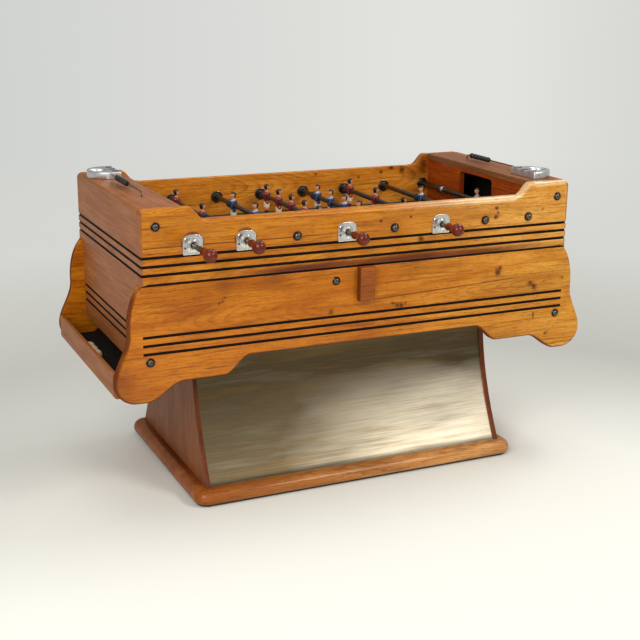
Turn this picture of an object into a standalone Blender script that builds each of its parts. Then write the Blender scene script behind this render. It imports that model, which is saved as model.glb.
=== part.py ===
# Oak table football on a pedestal: play box, lower cabinet, pedestal, plinth and eight telescopic rods.
# Frame: X along the length, -Y towards the front side, Z up, origin on the floor under the middle.

import math

import bmesh
import bpy
from mathutils import Vector

# Fits
JOINT_GAP = 0.0003          # between pieces that touch
ROD_FIT = 0.0006            # radial, between a turning or sliding piece and its hole
ROUND_PROFILE = 0.5         # shape of a rounded edge, where one half is a true quarter round

# Play box
PLAY_LENGTH = 1.420
PLAY_DEPTH = 0.714
SEAM_Z = 0.703              # underside of the play box above the floor
BOX_HEIGHT = 0.217          # to the top of the raised ends
RAIL_DROP = 0.038           # middle rail below the raised ends
RISE_LENGTH = 0.047         # length of the curve from the rail up to a raised end
RISE_SET = 0.015            # raised end starts this far inside the goal wall face
POCKET_LENGTH = 0.127       # from the goal wall face to the end of the play box
BOARD = 0.028               # sides, ends and aprons
SHELF_THICK = 0.019
SHELF_NOSE = 0.003          # shelf edge in front of the goal wall
FIELD_RISE = 0.032          # playing surface above the seam
FIELD_THICK = 0.016
WALL_THICK = 0.018
GOAL_WIDTH = 0.205
GOAL_HEIGHT = 0.1535
GOAL_CORNER = 0.014

# Grooves: heights above the seam on the play box, below the seam on the lower cabinet
GROOVE_WIDTH = 0.007
GROOVE_DEPTH = 0.0035
GROOVE_PITCH = 0.025
BOX_GROOVE_TOP = 0.081
APRON_GROOVE_TOP = 0.148

# Lower cabinet
APRON_SET = 0.003           # apron face behind the play box face
APRON_TOP_OUT = 0.002       # apron outline beyond the play box end, at the seam
APRON_WAIST_OUT = 0.041     # at the upright waist of the outline
APRON_FOOT_OUT = 0.084      # at the widest point of the rounded foot
APRON_WAIST_DROP = 0.123    # waist below the seam
APRON_NECK_DROP = 0.143     # start of the flare into the foot
SHOULDER_ROUND = 0.071      # half width of the oval that rounds the upper corner
FOOT_RADIUS = 0.065
FOOT_DROP = 0.345           # underside of the foot below the seam
STEP_DROP = 0.291           # middle step of the lower edge
ARCH_DROP = 0.236           # middle of the lower edge
FOOT_FLAT = 0.029
FOOT_RISE = 0.110           # length of the curve from foot to step
STEP_FLAT = 0.122
ARCH_RISE = 0.083           # length of the curve from step to arch
CURVE_STEPS = 8
LOWER_END_THICK = 0.024
LOWER_END_SET = 0.004       # lower end board behind the play box end
LOWER_END_DROP = 0.258      # its lower edge below the seam
LIP_THICK = 0.011
LIP_SET = 0.001             # lip face inside the widest point of the foot
LIP_TOP_DROP = 0.250        # upper edge of the lip below the seam
LIP_LOW_DROP = 0.328        # lower edge
LIP_ROUND = 0.016           # round of its lower outer corner
RUN_THICK = 0.008
RUN_FLAT_OUT = 0.010        # level part of the ball run beyond the pedestal ends
RUN_DROP = 0.088            # fall from the level part to the trough
TROUGH_FALL = 0.005         # from the end of the slope to the lip
BLOCK_WIDTH = 0.052
BLOCK_HEIGHT = 0.104
BLOCK_THICK = 0.022
BLOCK_X = -0.015
BLOCK_BEVEL = 0.004

# Pedestal and plinth
PLINTH_LENGTH = 1.114
PLINTH_HEIGHT = 0.050
PLINTH_CORNER = 0.042
PLINTH_TOP_ROUND = 0.025
PLINTH_LOW_ROUND = 0.015
PEDESTAL_LENGTH = 1.034
PEDESTAL_END_THICK = 0.014
SHEET_TOP_DEPTH = 0.370     # across both sheets at the top
SHEET_FOOT_SET = 0.042      # foot of a sheet behind the edge of the plinth
SHEET_HOLLOW = 0.028        # depth of the hollow in the curve of a sheet
SHEET_THICK = 0.002
SHEET_SET = 0.008           # sheet face behind the edges of the pedestal ends
SHEET_STEPS = 12

# Rods, along Y, evenly spaced between the two keepers
ROD_RISE = 0.110            # rod axis above the seam
KEEPER_SPACE = 0.023        # from the keeper's rod axis to the goal wall
TUBE_RADIUS = 0.008
BORE_RADIUS = 0.0053
GUIDE_RADIUS = 0.0045
GUIDE_OVERLAP = 0.060       # guide rod still inside the tube when the rod is pulled right out
SHANK_RADIUS = 0.006
HEAD_RADIUS = 0.0135
HEAD_HEIGHT = 0.011
DISC_RADIUS = 0.020
DISC_THICK = 0.008
BUFFER_RADIUS = 0.014
BUFFER_LENGTH = 0.020
KEEPER_BUFFER = 0.353       # inner end of the keeper's buffers from the keeper, as a share of the inner width
TUBE_END = 0.0035           # tube beyond the outer buffer
STOP_GAP = 0.001            # left between tube end and disc at the end of travel
ROUND_SEGMENTS = 10

# Handles and bearings
BALL_RADIUS = 0.020
NECK_LENGTH = 0.055         # from the middle of the ball to the end of the neck
NECK_RADIUS = 0.0105
NECK_BALL_RADIUS = 0.0120
SOCKET_DEPTH = 0.038
HANDLE_PARK = 0.027         # left between neck and bearing when the rod is pushed right in
PLATE_WIDTH = 0.060
PLATE_LOW = 0.028           # below the rod axis
PLATE_HIGH = 0.030          # above the rod axis
PLATE_SIDE_HIGH = 0.010     # top of the upright sides
PLATE_THICK = 0.004
BOSS_RADIUS = 0.017
BOSS_TOP_RADIUS = 0.0135
BOSS_HEIGHT = 0.008
SPIGOT_RADIUS = 0.012

# Men: spacing as a share of the inner width for each number of men on a rod, and their own size
MEN_SPACING = {1: 0.0, 2: 0.398, 3: 0.299, 5: 0.161}
MAN_HALF_WIDTH = 0.0135
MAN_FOOT_DROP = 0.072
MAN_HEAD_RISE = 0.045
MAN_SIDES = 6

# One entry a rod, from the left: handle side, men, and the share of its travel that it is pushed in
ROD_PLAN = (
    ("front", 1, 0.16),
    ("front", 2, 0.97),
    ("back", 3, 0.35),
    ("front", 5, 0.82),
    ("back", 5, 0.16),
    ("front", 3, 0.93),
    ("back", 2, 0.55),
    ("back", 1, 0.83),
)

# Ashtrays, score wires and beads
TRAY_LENGTH = 0.138
TRAY_WIDTH = 0.093
TRAY_HEIGHT = 0.022
TRAY_END_GAP = 0.006        # from the play box end face
TRAY_SIDE_GAP = 0.053       # from the play box side
BOWL_RADIUS = 0.029
BOWL_DEPTH = 0.015
BOWL_RIM = 0.006            # casting left beyond the bowl on the round side
REST_PITCH = 0.040
REST_WIDTH = 0.015
REST_LENGTH = 0.022
REST_DEPTH = 0.0045
WIRE_RADIUS = 0.002
WIRE_RISE = 0.016           # wire axis above the shelf
WIRE_END_GAP = 0.065        # wire axis inside the play box end face
WIRE_REACH = 0.160          # far end of the wire from the middle of the shelf
WIRE_BEND = 0.012
BEAD_COUNT = 6
BEAD_LENGTH = 0.0205
BEAD_RADIUS = 0.009
BEAD_NECK_RADIUS = 0.0055
BEAD_SEGMENTS = 8
BEADS_LEFT_Y = 0.045
BEADS_RIGHT_Y = 0.0755

# Worked out from the sizes above
HALF_LENGTH = PLAY_LENGTH / 2
HALF_DEPTH = PLAY_DEPTH / 2
SIDE_INNER = HALF_DEPTH - BOARD
TOP_Z = SEAM_Z + BOX_HEIGHT
RAIL_Z = TOP_Z - RAIL_DROP
ROD_Z = SEAM_Z + ROD_RISE
FIELD_Z = SEAM_Z + FIELD_RISE
ROD_COUNT = len(ROD_PLAN)
WALL_X = HALF_LENGTH - POCKET_LENGTH
ROD_PITCH = 2 * (WALL_X - KEEPER_SPACE) / (ROD_COUNT - 1)
BETWEEN_SIDES = SIDE_INNER - JOINT_GAP
APRON_FACE = HALF_DEPTH - APRON_SET
APRON_INNER = APRON_FACE - BOARD
BETWEEN_APRONS = APRON_INNER - JOINT_GAP
FOOT_X = HALF_LENGTH + APRON_FOOT_OUT - FOOT_RADIUS
FOOT_Z = SEAM_Z - FOOT_DROP + FOOT_RADIUS
RUN_Z = SEAM_Z - ARCH_DROP + JOINT_GAP
PLINTH_DEPTH = PLAY_DEPTH
SHEET_FOOT_DEPTH = PLINTH_DEPTH - 2 * SHEET_FOOT_SET
PEDESTAL_FOOT_Z = PLINTH_HEIGHT + JOINT_GAP
SHEET_HALF_LENGTH = PEDESTAL_LENGTH / 2 - PEDESTAL_END_THICK - JOINT_GAP
BORE_FIT_RADIUS = TUBE_RADIUS + ROD_FIT
TRAY_MIDDLE_Y = HALF_DEPTH - TRAY_SIDE_GAP - TRAY_LENGTH / 2
LIP_FACE = HALF_LENGTH + APRON_FOOT_OUT - LIP_SET
LIP_INNER = LIP_FACE - LIP_THICK
PLATE_FACE = HALF_DEPTH + JOINT_GAP
DISC_FACE = BETWEEN_SIDES - DISC_THICK

# Finishes: colour, roughness and metallic
OAK = ((0.47, 0.20, 0.045), 0.35, 0.0)
OAK_DARK = ((0.30, 0.105, 0.03), 0.32, 0.0)
FIELD_GREEN = ((0.010, 0.030, 0.022), 0.5, 0.0)
BLACK_BOARD = ((0.008, 0.008, 0.008), 0.5, 0.0)
BRUSHED_SHEET = ((0.36, 0.33, 0.26), 0.38, 1.0)
DARK_STEEL = ((0.035, 0.032, 0.030), 0.4, 1.0)
ALUMINIUM = ((0.62, 0.63, 0.64), 0.38, 1.0)
HANDLE_WOOD = ((0.20, 0.035, 0.012), 0.15, 0.0)
BLACK_BEADS = ((0.008, 0.008, 0.008), 0.3, 0.0)
TEAM_RED = ((0.20, 0.012, 0.016), 0.4, 0.0)
TEAM_BLUE = ((0.018, 0.050, 0.160), 0.4, 0.0)


def clear_scene():
    for old in list(bpy.data.objects):
        bpy.data.objects.remove(old, do_unlink=True)


def material(name, colour, roughness, metallic):
    made = bpy.data.materials.new(name)
    made.use_nodes = True
    shader = made.node_tree.nodes["Principled BSDF"]
    shader.inputs["Base Color"].default_value = (*colour, 1.0)
    shader.inputs["Roughness"].default_value = roughness
    shader.inputs["Metallic"].default_value = metallic
    return made


def place(name, mesh, finish, parent=None, location=(0.0, 0.0, 0.0)):
    """One named sub-part with its own copy of a finish."""
    made = bpy.data.objects.new(name, mesh)
    bpy.context.scene.collection.objects.link(made)
    made.parent = parent
    made.location = location
    mesh.materials.clear()
    mesh.materials.append(material(name, *finish))
    return made


def helper(name, mesh):
    """An object that only cuts or joins, left out of the part."""
    made = bpy.data.objects.new(name, mesh)
    bpy.context.scene.collection.objects.link(made)
    made.hide_render = True
    made.display_type = "WIRE"
    return made


def finish_mesh(bm, name, smooth=False):
    bmesh.ops.recalc_face_normals(bm, faces=bm.faces)
    mesh = bpy.data.meshes.new(name)
    bm.to_mesh(mesh)
    bm.free()
    if smooth:
        mesh.shade_smooth()
        mesh.set_sharp_from_angle(angle=math.radians(40))
    return mesh


def add_prism(bm, outline, low, high, axes):
    """Sweep a flat outline from low to high; axes are the outline's two axes and the sweep axis."""
    across, along, sweep = axes
    ring = []
    for first, second in outline:
        point = Vector((0.0, 0.0, 0.0))
        point[across] = first
        point[along] = second
        point[sweep] = low
        ring.append(bm.verts.new(point))
    swept = bmesh.ops.extrude_face_region(bm, geom=[bm.faces.new(ring)])
    moved = [item for item in swept["geom"] if isinstance(item, bmesh.types.BMVert)]
    shift = Vector((0.0, 0.0, 0.0))
    shift[sweep] = high - low
    bmesh.ops.translate(bm, verts=moved, vec=shift)


def prism(name, outline, low, high, axes):
    bm = bmesh.new()
    add_prism(bm, outline, low, high, axes)
    return finish_mesh(bm, name)


def rectangle(low, high):
    return [(low[0], low[1]), (high[0], low[1]), (high[0], high[1]), (low[0], high[1])]


def add_box(bm, low, high):
    add_prism(bm, rectangle(low[:2], high[:2]), low[2], high[2], (0, 1, 2))


def box(name, low, high):
    bm = bmesh.new()
    add_box(bm, low, high)
    return finish_mesh(bm, name)


def add_turned(bm, profile, closed=False, x=0.0, z=0.0, segments=ROUND_SEGMENTS):
    """Spin (y, radius) points about a line along Y through (x, z)."""
    points = [bm.verts.new((x + radius, y, z)) for y, radius in profile]
    pairs = list(zip(points, points[1:]))
    if closed:
        pairs.append((points[-1], points[0]))
    edges = [bm.edges.new(pair) for pair in pairs]
    bmesh.ops.spin(bm, geom=points + edges, cent=(x, 0.0, z), axis=(0.0, 1.0, 0.0),
                   angle=2 * math.pi, steps=segments, use_merge=True)
    on_axis = [v for v in bm.verts if v.is_valid and math.hypot(v.co.x - x, v.co.z - z) < 1e-6]
    bmesh.ops.remove_doubles(bm, verts=on_axis, dist=1e-6)


def turned(name, profile, closed=False, segments=ROUND_SEGMENTS):
    bm = bmesh.new()
    add_turned(bm, profile, closed, segments=segments)
    return finish_mesh(bm, name, smooth=True)


def combine(name, base, *steps):
    """Bake a chain of Boolean steps, each (operation, mesh), and drop the helpers."""
    body = helper(name + "_body", base)
    tools = []
    for number, (operation, mesh) in enumerate(steps):
        tool = helper(f"{name}_tool_{number}", mesh)
        change = body.modifiers.new(operation, "BOOLEAN")
        change.operation = operation
        change.solver = "EXACT"
        change.object = tool
        tools.append(tool)
    bpy.context.view_layer.update()
    shown = body.evaluated_get(bpy.context.evaluated_depsgraph_get())
    mesh = bpy.data.meshes.new_from_object(shown)
    mesh.name = name
    for spent in [body] + tools:
        bpy.data.objects.remove(spent, do_unlink=True)
    return mesh


def smooth_rise(start, end, level=False, steps=CURVE_STEPS):
    """Points of an S curve; it leaves and arrives upright, or level where asked."""
    points = []
    for step in range(steps + 1):
        t = step / steps
        eased = t * t * (3 - 2 * t)
        across, up = (t, eased) if level else (eased, t)
        points.append((start[0] + (end[0] - start[0]) * across, start[1] + (end[1] - start[1]) * up))
    return points


def arc(centre, radii, start, end, steps=CURVE_STEPS):
    """Points of an oval arc between two angles."""
    angles = [start + (end - start) * step / steps for step in range(steps + 1)]
    return [(centre[0] + radii[0] * math.cos(a), centre[1] + radii[1] * math.sin(a)) for a in angles]


def mirrored(half):
    """A closed outline from its +X half, which runs from the middle to the middle."""
    points = [half[0]]
    for point in half[1:]:
        if math.dist(point, points[-1]) > 1e-6:
            points.append(point)
    back = [(-x, z) for x, z in reversed(points) if x > 1e-6]
    return points + back


# Outlines


def side_outline():
    """Play box side: level rail with an S curve up to each raised end."""
    rise = WALL_X - RISE_SET
    half = [(0.0, RAIL_Z)]
    half += smooth_rise((rise - RISE_LENGTH, RAIL_Z), (rise, TOP_Z), level=True)
    half += [(HALF_LENGTH, TOP_Z), (HALF_LENGTH, SEAM_Z), (0.0, SEAM_Z)]
    return mirrored(half)


def apron_outline():
    """Apron: oval shoulder, waist, flare into a round foot, then two steps up to the arch."""
    seam = SEAM_Z - JOINT_GAP
    waist = (HALF_LENGTH + APRON_WAIST_OUT, SEAM_Z - APRON_WAIST_DROP)
    inset = (APRON_WAIST_OUT - APRON_TOP_OUT) / SHOULDER_ROUND
    start = math.acos(1 - inset)
    oval_height = (seam - waist[1]) / math.sin(start)
    neck = (waist[0], SEAM_Z - APRON_NECK_DROP)
    foot_low = FOOT_X - FOOT_FLAT
    step_out = foot_low - FOOT_RISE
    step_in = step_out - STEP_FLAT
    arch = step_in - ARCH_RISE
    step_z = SEAM_Z - STEP_DROP
    arch_z = SEAM_Z - ARCH_DROP
    half = [(0.0, seam)]
    half += arc((waist[0] - SHOULDER_ROUND, waist[1]), (SHOULDER_ROUND, oval_height), start, 0.0)
    half += smooth_rise(neck, (FOOT_X + FOOT_RADIUS, FOOT_Z))
    half += arc((FOOT_X, FOOT_Z), (FOOT_RADIUS, FOOT_RADIUS), 0.0, -math.pi / 2)
    half += smooth_rise((foot_low, FOOT_Z - FOOT_RADIUS), (step_out, step_z), level=True)
    half += smooth_rise((step_in, step_z), (arch, arch_z), level=True)
    half += [(0.0, arch_z)]
    return mirrored(half)


def sheet_curve(offset):
    """Hollow curve of the pedestal from top to foot, as (y, z) with y measured outwards."""
    top_z = RUN_Z - JOINT_GAP
    points = []
    for step in range(SHEET_STEPS + 1):
        t = step / SHEET_STEPS
        straight = SHEET_TOP_DEPTH / 2 + (SHEET_FOOT_DEPTH - SHEET_TOP_DEPTH) / 2 * t
        hollow = SHEET_HOLLOW * 4 * t * (1 - t)
        points.append((straight - hollow + offset, top_z + (PEDESTAL_FOOT_Z - top_z) * t))
    return points


def grooved_edge(face_x, top, low, groove_top):
    """Outer edge of an end board, from low to top, with its three grooves."""
    points = [(face_x, low)]
    for number in reversed(range(3)):
        middle = groove_top - GROOVE_PITCH * number
        points += [(face_x, middle - GROOVE_WIDTH / 2), (face_x - GROOVE_DEPTH, middle - GROOVE_WIDTH / 2)]
        points += [(face_x - GROOVE_DEPTH, middle + GROOVE_WIDTH / 2), (face_x, middle + GROOVE_WIDTH / 2)]
    return points + [(face_x, top)]


# Play box


def rod_x(index):
    return ROD_PITCH * (index - (ROD_COUNT - 1) / 2)


def side_cutters(name, face, half_run, groove_top, holes):
    """Grooves along a side whose outer face is at y = face, and the rod holes through it."""
    bm = bmesh.new()
    inward = -math.copysign(1.0, face)
    bounds = sorted((face - inward * GROOVE_DEPTH, face + inward * GROOVE_DEPTH))
    for number in range(3):
        middle = groove_top - GROOVE_PITCH * number
        add_box(bm, (-half_run, bounds[0], middle - GROOVE_WIDTH / 2),
                (half_run, bounds[1], middle + GROOVE_WIDTH / 2))
    ends = sorted((face - inward * BOARD, face + inward * 2 * BOARD))
    for x, radius in holes:
        add_turned(bm, [(ends[0], 0.0), (ends[0], radius), (ends[1], radius), (ends[1], 0.0)],
                   x=x, z=ROD_Z)
    return finish_mesh(bm, name)


def corner_cutters(name, face):
    """Short grooves over both end faces of a play box side, which carry its grooves on to the ends."""
    bm = bmesh.new()
    inward = -math.copysign(1.0, face)
    bounds = sorted((face - inward * GROOVE_DEPTH, face + inward * 2 * BOARD))
    for end in (-HALF_LENGTH, HALF_LENGTH):
        for number in range(3):
            middle = SEAM_Z + BOX_GROOVE_TOP - GROOVE_PITCH * number
            add_box(bm, (end - GROOVE_DEPTH, bounds[0], middle - GROOVE_WIDTH / 2),
                    (end + GROOVE_DEPTH, bounds[1], middle + GROOVE_WIDTH / 2))
    return finish_mesh(bm, name)


def build_sides():
    for name, face in (("front", -HALF_DEPTH), ("back", HALF_DEPTH)):
        holes = []
        for index, (handle, _, _) in enumerate(ROD_PLAN):
            radius = SPIGOT_RADIUS + ROD_FIT if handle == name else SHANK_RADIUS + ROD_FIT
            holes.append((rod_x(index), radius))
        inner = math.copysign(SIDE_INNER, face)
        board = prism("side", side_outline(), min(face, inner), max(face, inner), (0, 2, 1))
        cutters = side_cutters("side_cuts", face, PLAY_LENGTH, SEAM_Z + BOX_GROOVE_TOP, holes)
        mesh = combine("side", board, ("DIFFERENCE", cutters),
                       ("DIFFERENCE", corner_cutters("corner_cuts", face)))
        place(f"play_box_{name}_side", mesh, OAK)


def end_sign(end):
    return -1.0 if end == "left" else 1.0


def flip(outline, sign):
    return [(sign * x, z) for x, z in outline]


def build_ends(end):
    """Play box end, end shelf and goal wall of one end."""
    sign = end_sign(end)
    inner = HALF_LENGTH - BOARD
    edge = grooved_edge(HALF_LENGTH, TOP_Z, SEAM_Z, SEAM_Z + BOX_GROOVE_TOP)
    outline = [(inner, TOP_Z), (inner, SEAM_Z)] + edge
    mesh = prism("end", flip(outline, sign), -BETWEEN_SIDES, BETWEEN_SIDES, (0, 2, 1))
    place(f"play_box_{end}_end", mesh, OAK)

    nose = WALL_X - SHELF_NOSE
    outline = rectangle((nose, TOP_Z - SHELF_THICK), (inner - JOINT_GAP, TOP_Z))
    mesh = prism("shelf", flip(outline, sign), -BETWEEN_SIDES, BETWEEN_SIDES, (0, 2, 1))
    place(f"{end}_end_shelf", mesh, OAK_DARK)

    wall_top = TOP_Z - SHELF_THICK - JOINT_GAP
    bounds = sorted((sign * WALL_X, sign * (WALL_X + WALL_THICK)))
    wall = prism("wall", rectangle((-BETWEEN_SIDES, SEAM_Z), (BETWEEN_SIDES, wall_top)), *bounds, (1, 2, 0))
    half, head = GOAL_WIDTH / 2, FIELD_Z + GOAL_HEIGHT
    round_right = arc((half - GOAL_CORNER, head - GOAL_CORNER), (GOAL_CORNER, GOAL_CORNER), 0.0, math.pi / 2, 4)
    mouth = mirrored([(0.0, FIELD_Z), (half, FIELD_Z)] + round_right + [(0.0, head)])
    cut = prism("mouth", mouth, bounds[0] - WALL_THICK, bounds[1] + WALL_THICK, (1, 2, 0))
    place(f"{end}_goal_wall", combine("wall", wall, ("DIFFERENCE", cut)), OAK_DARK)


def build_field():
    reach = WALL_X - JOINT_GAP
    mesh = box("field", (-reach, -BETWEEN_SIDES, FIELD_Z - FIELD_THICK), (reach, BETWEEN_SIDES, FIELD_Z))
    place("playfield_board", mesh, FIELD_GREEN)


# Lower cabinet


def build_aprons():
    groove_top = SEAM_Z - APRON_GROOVE_TOP
    for name, face in (("front", -APRON_FACE), ("back", APRON_FACE)):
        inner = math.copysign(APRON_INNER, face)
        board = prism("apron", apron_outline(), min(face, inner), max(face, inner), (0, 2, 1))
        cutters = side_cutters("apron_cuts", face, HALF_LENGTH, groove_top, [])
        place(f"{name}_apron", combine("apron", board, ("DIFFERENCE", cutters)), OAK)
    top = SEAM_Z - JOINT_GAP
    near = APRON_FACE + JOINT_GAP
    bm = bmesh.new()
    add_box(bm, (BLOCK_X - BLOCK_WIDTH / 2, -near - BLOCK_THICK, top - BLOCK_HEIGHT),
            (BLOCK_X + BLOCK_WIDTH / 2, -near, top))
    outer = [e for e in bm.edges if all(v.co.y < -near - BLOCK_THICK / 2 for v in e.verts)]
    bmesh.ops.bevel(bm, geom=outer, offset=BLOCK_BEVEL, segments=2, affect="EDGES", profile=ROUND_PROFILE)
    place("front_cover_block", finish_mesh(bm, "block"), OAK)


def build_lower_end(end):
    """Lower end board and the upright lip of the ball trough beyond it."""
    sign = end_sign(end)
    face = HALF_LENGTH - LOWER_END_SET
    low, top = SEAM_Z - LOWER_END_DROP, SEAM_Z - JOINT_GAP
    inner = face - LOWER_END_THICK
    outline = [(inner, top), (inner, low)] + grooved_edge(face, top, low, SEAM_Z - APRON_GROOVE_TOP)
    mesh = prism("lower_end", flip(outline, sign), -BETWEEN_APRONS, BETWEEN_APRONS, (0, 2, 1))
    place(f"lower_{end}_end", mesh, OAK)

    low, top = SEAM_Z - LIP_LOW_DROP, SEAM_Z - LIP_TOP_DROP
    corner = (LIP_INNER, low + LIP_ROUND)
    outline = [(LIP_INNER, top), (LIP_INNER, low)]
    outline += arc(corner, (LIP_THICK, LIP_ROUND), -math.pi / 2, 0.0, 4)[1:]
    outline += [(LIP_FACE, top)]
    mesh = prism("lip", flip(outline, sign), -BETWEEN_APRONS, BETWEEN_APRONS, (0, 2, 1))
    place(f"{end}_trough_lip", mesh, OAK_DARK)


def build_ball_run():
    """Cabinet floor: level over the pedestal, sloping to a shallow trough at each end."""
    level = PEDESTAL_LENGTH / 2 + RUN_FLAT_OUT
    slope_end = HALF_LENGTH - LOWER_END_SET - LOWER_END_THICK
    reach = LIP_INNER - JOINT_GAP
    low = RUN_Z - RUN_DROP
    under = [(0.0, RUN_Z), (level, RUN_Z), (slope_end, low), (reach, low - TROUGH_FALL)]
    over = [(x, z + RUN_THICK) for x, z in reversed(under)]
    mesh = prism("run", mirrored(under + over), -BETWEEN_APRONS, BETWEEN_APRONS, (0, 2, 1))
    place("ball_run_floor", mesh, BLACK_BOARD)


# Pedestal and plinth


def build_pedestal():
    half = PEDESTAL_LENGTH / 2
    edge = sheet_curve(SHEET_SET)
    outline = edge + [(-y, z) for y, z in reversed(edge)]
    for end in ("left", "right"):
        sign = end_sign(end)
        bounds = sorted((sign * half, sign * (half - PEDESTAL_END_THICK)))
        place(f"pedestal_{end}_end", prism("pedestal_end", outline, *bounds, (1, 2, 0)), OAK_DARK)
    band = sheet_curve(0.0) + list(reversed(sheet_curve(-SHEET_THICK)))
    for name, sign in (("front", -1.0), ("back", 1.0)):
        mesh = prism("sheet", flip(band, sign), -SHEET_HALF_LENGTH, SHEET_HALF_LENGTH, (1, 2, 0))
        place(f"pedestal_{name}_sheet", mesh, BRUSHED_SHEET)


def build_plinth():
    """Rounded board whose upper and lower edges are rounded over."""
    half_x, half_y = PLINTH_LENGTH / 2, PLINTH_DEPTH / 2
    outline = []
    for quarter, (sx, sy) in enumerate(((1, 1), (-1, 1), (-1, -1), (1, -1))):
        centre = (sx * (half_x - PLINTH_CORNER), sy * (half_y - PLINTH_CORNER))
        start = quarter * math.pi / 2
        outline += arc(centre, (PLINTH_CORNER, PLINTH_CORNER), start, start + math.pi / 2, 5)
    bm = bmesh.new()
    add_prism(bm, outline, 0.0, PLINTH_HEIGHT, (0, 1, 2))
    for level, width in ((PLINTH_HEIGHT, PLINTH_TOP_ROUND), (0.0, PLINTH_LOW_ROUND)):
        rim = [e for e in bm.edges if all(abs(v.co.z - level) < 1e-6 for v in e.verts)]
        bmesh.ops.bevel(bm, geom=rim, offset=width, segments=3, affect="EDGES", profile=ROUND_PROFILE)
    place("plinth", finish_mesh(bm, "plinth", smooth=True), OAK_DARK)


# Rods


def man_rings():
    """Half width, half depth and forward shift of a man's body, from the feet to the crown."""
    foot, head = -MAN_FOOT_DROP, MAN_HEAD_RISE
    wide = MAN_HALF_WIDTH
    return (
        (foot, 0.70 * wide, 0.0100, 0.002),
        (foot * 0.86, 0.70 * wide, 0.0090, 0.001),
        (foot * 0.79, 0.58 * wide, 0.0058, 0.000),
        (foot * 0.58, 0.70 * wide, 0.0070, 0.000),
        (foot * 0.36, 0.92 * wide, 0.0085, 0.000),
        (head * 0.09, 0.98 * wide, 0.0092, 0.000),
        (head * 0.31, wide, 0.0088, 0.000),
        (head * 0.42, 0.38 * wide, 0.0052, 0.000),
        (head * 0.58, 0.66 * wide, 0.0095, 0.001),
        (head * 0.76, 0.76 * wide, 0.0110, 0.001),
        (head * 0.93, 0.58 * wide, 0.0085, 0.000),
        (head, 0.24 * wide, 0.0035, 0.000),
    )


def add_man(bm, y):
    """A standing man facing +X, skinned over his rings."""
    rings = []
    for z, half_width, half_depth, forward in man_rings():
        ring = []
        for side in range(MAN_SIDES):
            angle = 2 * math.pi * (side + 0.5) / MAN_SIDES
            point = (forward + half_depth * math.cos(angle), y + half_width * math.sin(angle), z)
            ring.append(bm.verts.new(point))
        rings.append(ring)
    for low, high in zip(rings, rings[1:]):
        for side in range(MAN_SIDES):
            after = (side + 1) % MAN_SIDES
            bm.faces.new((low[side], low[after], high[after], high[side]))
    bm.faces.new(list(reversed(rings[0])))
    bm.faces.new(rings[-1])


def men_places(count):
    spacing = MEN_SPACING[count] * 2 * SIDE_INNER
    return [spacing * (number - (count - 1) / 2) for number in range(count)]


def buffer_start(count):
    """Inner end of the outer buffer, from the middle of the men."""
    if count == 1:
        return KEEPER_BUFFER * 2 * SIDE_INNER
    return men_places(count)[-1] + MAN_HALF_WIDTH


def tube_reach(count):
    return buffer_start(count) + BUFFER_LENGTH + TUBE_END


def push_limit(count):
    """How far the men's middle may move either way from the middle of the field."""
    return DISC_FACE - STOP_GAP - tube_reach(count)


def handle_ball(count):
    """Middle of the ball from the middle of the men, along the handle side."""
    bearing = PLATE_FACE + PLATE_THICK + BOSS_HEIGHT
    return bearing + HANDLE_PARK + NECK_LENGTH + push_limit(count)


def tube_mesh(count):
    """Tube with its buffers and men, bored for the guide rod. The handle side is -Y."""
    near = -(handle_ball(count) - NECK_LENGTH + SOCKET_DEPTH)
    far = tube_reach(count)
    inner = buffer_start(count)
    outer = inner + BUFFER_LENGTH
    profile = [(near, 0.0), (near, TUBE_RADIUS)]
    for y in (-outer, inner):
        profile += [(y, TUBE_RADIUS), (y, BUFFER_RADIUS)]
        profile += [(y + BUFFER_LENGTH, BUFFER_RADIUS), (y + BUFFER_LENGTH, TUBE_RADIUS)]
    profile += [(far, TUBE_RADIUS), (far, 0.0)]
    men = bmesh.new()
    for y in men_places(count):
        add_man(men, y)
    blind = near + SOCKET_DEPTH
    bore = [(blind, 0.0), (blind, BORE_RADIUS), (far + BORE_RADIUS, BORE_RADIUS), (far + BORE_RADIUS, 0.0)]
    mesh = combine("tube", turned("tube", profile), ("UNION", finish_mesh(men, "men")),
                   ("DIFFERENCE", turned("bore", bore)))
    mesh.shade_smooth()
    mesh.set_sharp_from_angle(angle=math.radians(40))
    return mesh


def guide_mesh(count):
    """Guide rod: domed head outside the far side, shank through it, disc inside, rod along the tube."""
    tip = tube_reach(count) - push_limit(count) - GUIDE_OVERLAP
    head = PLATE_FACE + HEAD_HEIGHT
    profile = [(head, 0.0), (head - 0.1 * HEAD_HEIGHT, 0.55 * HEAD_RADIUS),
               (head - 0.55 * HEAD_HEIGHT, 0.95 * HEAD_RADIUS), (PLATE_FACE, HEAD_RADIUS),
               (PLATE_FACE, SHANK_RADIUS), (BETWEEN_SIDES, SHANK_RADIUS), (BETWEEN_SIDES, DISC_RADIUS),
               (DISC_FACE + DISC_THICK / 4, DISC_RADIUS), (DISC_FACE, 0.7 * DISC_RADIUS),
               (DISC_FACE, GUIDE_RADIUS), (tip + GUIDE_RADIUS, GUIDE_RADIUS), (tip, GUIDE_RADIUS / 2), (tip, 0.0)]
    return turned("guide", profile)


def handle_mesh():
    """Turned ball on a neck, with a socket for the tube; the middle of the ball is at y = 0."""
    start = math.asin(NECK_BALL_RADIUS / BALL_RADIUS)
    ball = arc((0.0, 0.0), (-BALL_RADIUS, BALL_RADIUS), 0.0, math.pi - start, 5)
    socket = TUBE_RADIUS + ROD_FIT
    blind = NECK_LENGTH - SOCKET_DEPTH - JOINT_GAP
    profile = ball + [(NECK_LENGTH, NECK_RADIUS), (NECK_LENGTH, socket), (blind, socket), (blind, 0.0)]
    return turned("handle", profile)


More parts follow.
